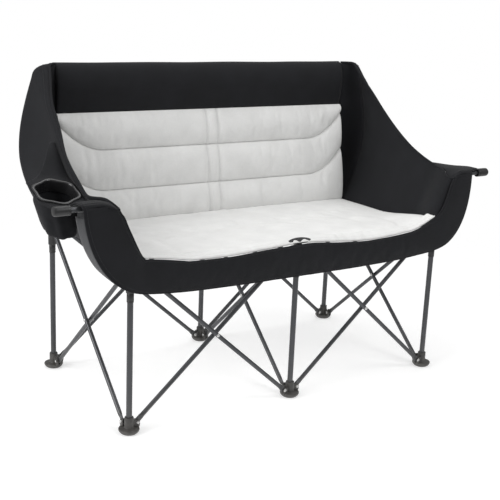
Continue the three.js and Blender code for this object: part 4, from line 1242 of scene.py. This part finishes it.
armPlaces = {"strip": stripPlace, "turn": turnPlace, "drop": dropPlace}
for hand, way in hands.items():
    def restPlace(u, v, way=way):
        kind, value = armWay[u]
        rounding = (1 - clamp(v / armrest["round"])) ** 2
        x, y, z = armPlaces[kind](value, v, rounding, way)
        return way * x, y, z

    def restFace(u, v, way=way):
        kind, value = armWay[u]
        thick = armrest["dropThick"] if kind == "drop" else armrest["stripThick"]
        ends = lerp(0.35, 1, swell(min(0.5, u / (len(armWay) - 1)), 0.3))
        loft = thick * lerp(0.3, 1, swell(v, 0.4)) * ends
        loft += 1.1 * wobble(u * 6.0, v * 90.0, way * 5.0, 45.0) * swell(v, 0.6)
        if kind == "drop":  # meets the front band
            loft = lerp(bandFace(0.5 + 0.5 * way, 1 - v), loft, ramp(value, *armrest["meets"]))
        return loft

    def restBack(u, v):
        kind, value = armWay[u]
        deep = armrest["behind"]
        if kind == "drop":
            deep = lerp(*armrest["dropBack"], ramp(value, *armrest["meets"]))
        return deep * lerp(0.4, 1, swell(v, 0.4))

    def gussetPlace(u, v, way=way):
        x, z = bezier(armrest["dropOuter"][way], lerp(gussets["from"], gussets["to"], u))
        depth = lerp(gussets["startDeep"], lerp(*gussets["deep"], u), ramp(u, 0.0, 0.3))
        x += gussets["out"] + gussets["flare"] * v * u
        return way * x, armrest["front"] + gussets["behind"] + depth * v, z

    body, across = "arm_" + hand, armrest["across"]
    hole = (cupHolder["place"], tilted @ upward, cupHolder["hole"]) if hand == "left" else None
    rest = Padded("armPad_" + hand, range(len(armWay)), steps(0, 1, across), restPlace, restFace,
                  restBack, darkCloth, (0, -0.7, 0.7), hole)
    rest.crisp(column=rest.wide - 1)
    rim = rest.rowRuns(0, -1.0) + rest.rowRuns(across, -1.0)
    runs = rest.rowRuns(2, 0.3) + rest.rowRuns(across - 2, 0.3)
    if hand == "left":  # this strip runs into the wing without an edge
        last = armrest["curveFrom"] * mm
        rim, runs = ([[p for p in run if p.y < last] for run in lines] for lines in (rim, runs))
    rest.trim()
    mount(rest.piece, body, "armrest_" + hand, endways)
    mount(binding("armPiping_" + hand, rim, 2.4), body, None, endways)
    mount(stitches("armStitches_" + hand, runs, darkThread), body, None, endways)
    # the gusset strip is painted lighter than the dark cloth around it, as painted light on its outward side
    # face
    gusset = Padded("armGusset_" + hand, steps(0, 1, gussets["columns"]), steps(0, 1, gussets["rows"]),
                    gussetPlace, lambda u, v: gussets["wall"] + swell(v, 0.6), lambda u, v: gussets["wall"],
                    gussetPaintedLightCloth, (way, 0, -0.5))
    mount(gusset.piece, body, None, endways)
print("armrests done")


# cup holder: moulded ring let into the left arm, and a pouch that hangs straight down from it
def cupPlace(radius, turn, z, aside=0.0, ahead=0.0):
    place = Vector((radius * math.cos(turn) + aside, radius * math.sin(turn) + ahead, z))
    return tilted @ place + cupHolder["place"]


def hexRound(turn, z):
    return 1 - lerp(0.008, 0.05, ramp(z, -6, 6)) * math.cos(6 * turn)  # round below, six-sided at the rim


def cupRingMesh():
    rings = []
    for turn in around(cupHolder["sides"]):
        fromFront = abs((turn - math.pi / 2) % fullTurn - math.pi)
        gap = 1 - ramp(fromFront, 0.5, 0.12)  # the wall is cut away at the front
        ring = []
        for radius, z in cupHolder["section"]:
            z = lerp(z, max(z, -9.0), gap)
            ring.append(cupPlace(radius * hexRound(turn, z), turn, z))
        rings.append(ring)
    return lofted(rings, "joined")


def pouchMesh():
    sides = cupHolder["around"]
    outer, inner = [], []
    for wall, rows in ((0.0, outer), (cupHolder["pouchWall"], inner)):
        for share in steps(0, 1, cupHolder["down"]):
            z = lerp(cupHolder["pouchTop"], cupHolder["pouchBottom"] + wall, share)
            hang = max(0.0, cupHolder["hangFrom"] - z)
            radius = lerp(cupHolder["pouchMouth"], cupHolder["pouchFoot"], clamp(hang / 82.0) ** 1.3)
            radius *= 1 - 0.22 * clamp((share - 0.9) / 0.1) ** 2
            row = []
            for k, turn in enumerate(around(sides)):
                phase = cupHolder["folds"] * turn + 2.0 * wobble(k * 6.0, z, 1.0, 60.0)
                fold = 2.4 * clamp(hang / 50.0) * math.cos(phase)
                slack = 1.4 * wobble(60 * math.cos(turn), 60 * math.sin(turn), z, 24.0)
                row.append(cupPlace(radius + fold - wall + slack, turn, z,
                                    cupHolder["sway"] * hang, -cupHolder["lean"] * hang))
            rows.append(row)
    loops = outer[::-1] + inner
    points, faces = lofted(loops, "open")
    count, last = len(points), (len(loops) - 1) * sides
    points += [sum(rows[-1], Vector((0, 0, 0))) / sides for rows in (outer, inner)]
    for k in range(sides):
        n = (k + 1) % sides
        faces.append([count, n, k])
        faces.append([count + 1, last + k, last + n])
    uvs = [((i % sides) / sides * 0.35, (i // sides) * 0.0045) for i in range(count)] + [(0, 0), (0, 0.2)]
    return points, faces, uvs


mount(newPiece("cupRim", *cupRingMesh(), glossPlastic, 40), "arm_left", "cup_ring")
points, faces, uvs = pouchMesh()
pouch = newPiece("cupPouch", points, faces, darkCloth, None, uvs)
mount(pouch, "arm_left", "cup_pouch")
print("cup holder done")


# bare tab sewn at the middle of the seat's front edge; layers are (share of the outline, height)
seatTab = {"length": 82.0, "width": 22.0, "foot": (0.0, -291.0, 490.0), "lean": 48.0, "lift": 1.0,
           "point": 1.25, "sides": 40,
           "layers": ((0.9, -0.2), (1.0, 0.5), (1.0, 1.2), (0.95, 1.9), (0.85, 1.6), (0.4, 1.9))}


def tabMesh():
    lean = math.radians(seatTab["lean"])
    up = Vector((0, math.sin(lean), math.cos(lean)))
    out = Vector((0, -math.cos(lean), math.sin(lean)))
    centre = Vector(seatTab["foot"]) + up * (seatTab["width"] / 2 + seatTab["lift"])
    rings = []
    for scale, height in seatTab["layers"]:
        ring = []
        for turn in around(seatTab["sides"]):
            along = seatTab["length"] / 2 * math.cos(turn)
            rise = math.copysign(abs(math.sin(turn)) ** seatTab["point"], math.sin(turn))
            rise *= seatTab["width"] / 2
            ring.append(centre + Vector((along * scale, 0, 0)) + up * rise * scale + out * height)
        rings.append(ring)
    return lofted(rings)


mount(newPiece("seatTab", *tabMesh(), blackPlastic, 40), "front_middle_upper", "seat_tab")
print("tab done")


# floor, lights and camera
white = (1.0, 1.0, 1.0, 1.0)
world = bpy.data.worlds.new("studio")
bpy.context.scene.world = world
world.use_nodes = True
tree = world.node_tree
seen = tree.nodes.new("ShaderNodeLightPath").outputs["Is Camera Ray"]
strength = mathNode(tree, "MULTIPLY_ADD", seen, 0.6, 0.4)  # white behind, dimmer as a light
setInputs(tree, tree.nodes["Background"], {"Strength": strength, "Color": white})

floorFinish, tree, shader, place = newFinish("paleFloor")
cloud = useGroup(tree, mottle, place["Object"], Size=1.5, Low=0.0, High=1.0)
away = addNode(tree, "ShaderNodeVectorMath", {0: place["Object"]}, operation="LENGTH")
fade = addNode(tree, "ShaderNodeMapRange", {  # the floor fades into the white behind it
    "Value": away.outputs["Value"], "From Min": 1.0, "From Max": 2.3, "To Min": 1.0, "To Max": 0.0},
    interpolation_type="SMOOTHSTEP")
setInputs(tree, shader, {
    "Base Color": mixColour(tree, cloud, (0.64, 0.64, 0.64), (0.67, 0.67, 0.67)), "Alpha": fade,
    "Roughness": 0.9, "Specular IOR Level": 0.1, "Emission Color": white, "Emission Strength": 0.5})
floorMesh = bpy.data.meshes.new("floor")
floorMesh.from_pydata([(-12, -8, 0), (12, -8, 0), (12, 16, 0), (-12, 16, 0)], [], [(0, 1, 2, 3)])
floorMesh.materials.append(floorFinish)
linked("floor", floorMesh)

lamps = {"key": {"place": (1.4, -2.5, 3.2), "aim": (0.0, 0.0, 0.5), "size": 1.6, "power": 48},
         "fill": {"place": (-3.5, -0.1, 2.0), "aim": (0.0, 0.0, 0.6), "size": 2.4, "power": 95},
         "top": {"place": (0.2, 0.6, 3.4), "aim": (0.0, 0.0, 0.4), "size": 2.6, "power": 36}}
for name, lamp in lamps.items():
    data = bpy.data.lights.new(name, "AREA")
    data.size = lamp["size"]
    data.energy = lamp["power"]
    facing = (Vector(lamp["aim"]) - Vector(lamp["place"])).to_track_quat("-Z", "Y")
    linked(name, data).matrix_world = Matrix.Translation(lamp["place"]) @ facing.to_matrix().to_4x4()

view = {"place": (-1.658, -2.501, 1.212), "target": (-0.0945, -0.1624, 0.45), "roll": 2.5202, "lens": 69.41,
        "sensor": 36.0}
camera = linked("camera", bpy.data.cameras.new("camera"))
camera.data.lens = view["lens"]
camera.data.sensor_width = view["sensor"]
forward = (Vector(view["target"]) - Vector(view["place"])).normalized()
right = forward.cross(upward).normalized()
above = right.cross(forward)
tip = math.radians(view["roll"])
rightTipped = right * math.cos(tip) + above * math.sin(tip)
aboveTipped = above * math.cos(tip) - right * math.sin(tip)
facing = Matrix((rightTipped, aboveTipped, -forward)).transposed().to_4x4()
camera.matrix_world = Matrix.Translation(view["place"]) @ facing
bpy.context.scene.camera = camera
bpy.context.scene.view_settings.view_transform = "Standard"
print("scene set")
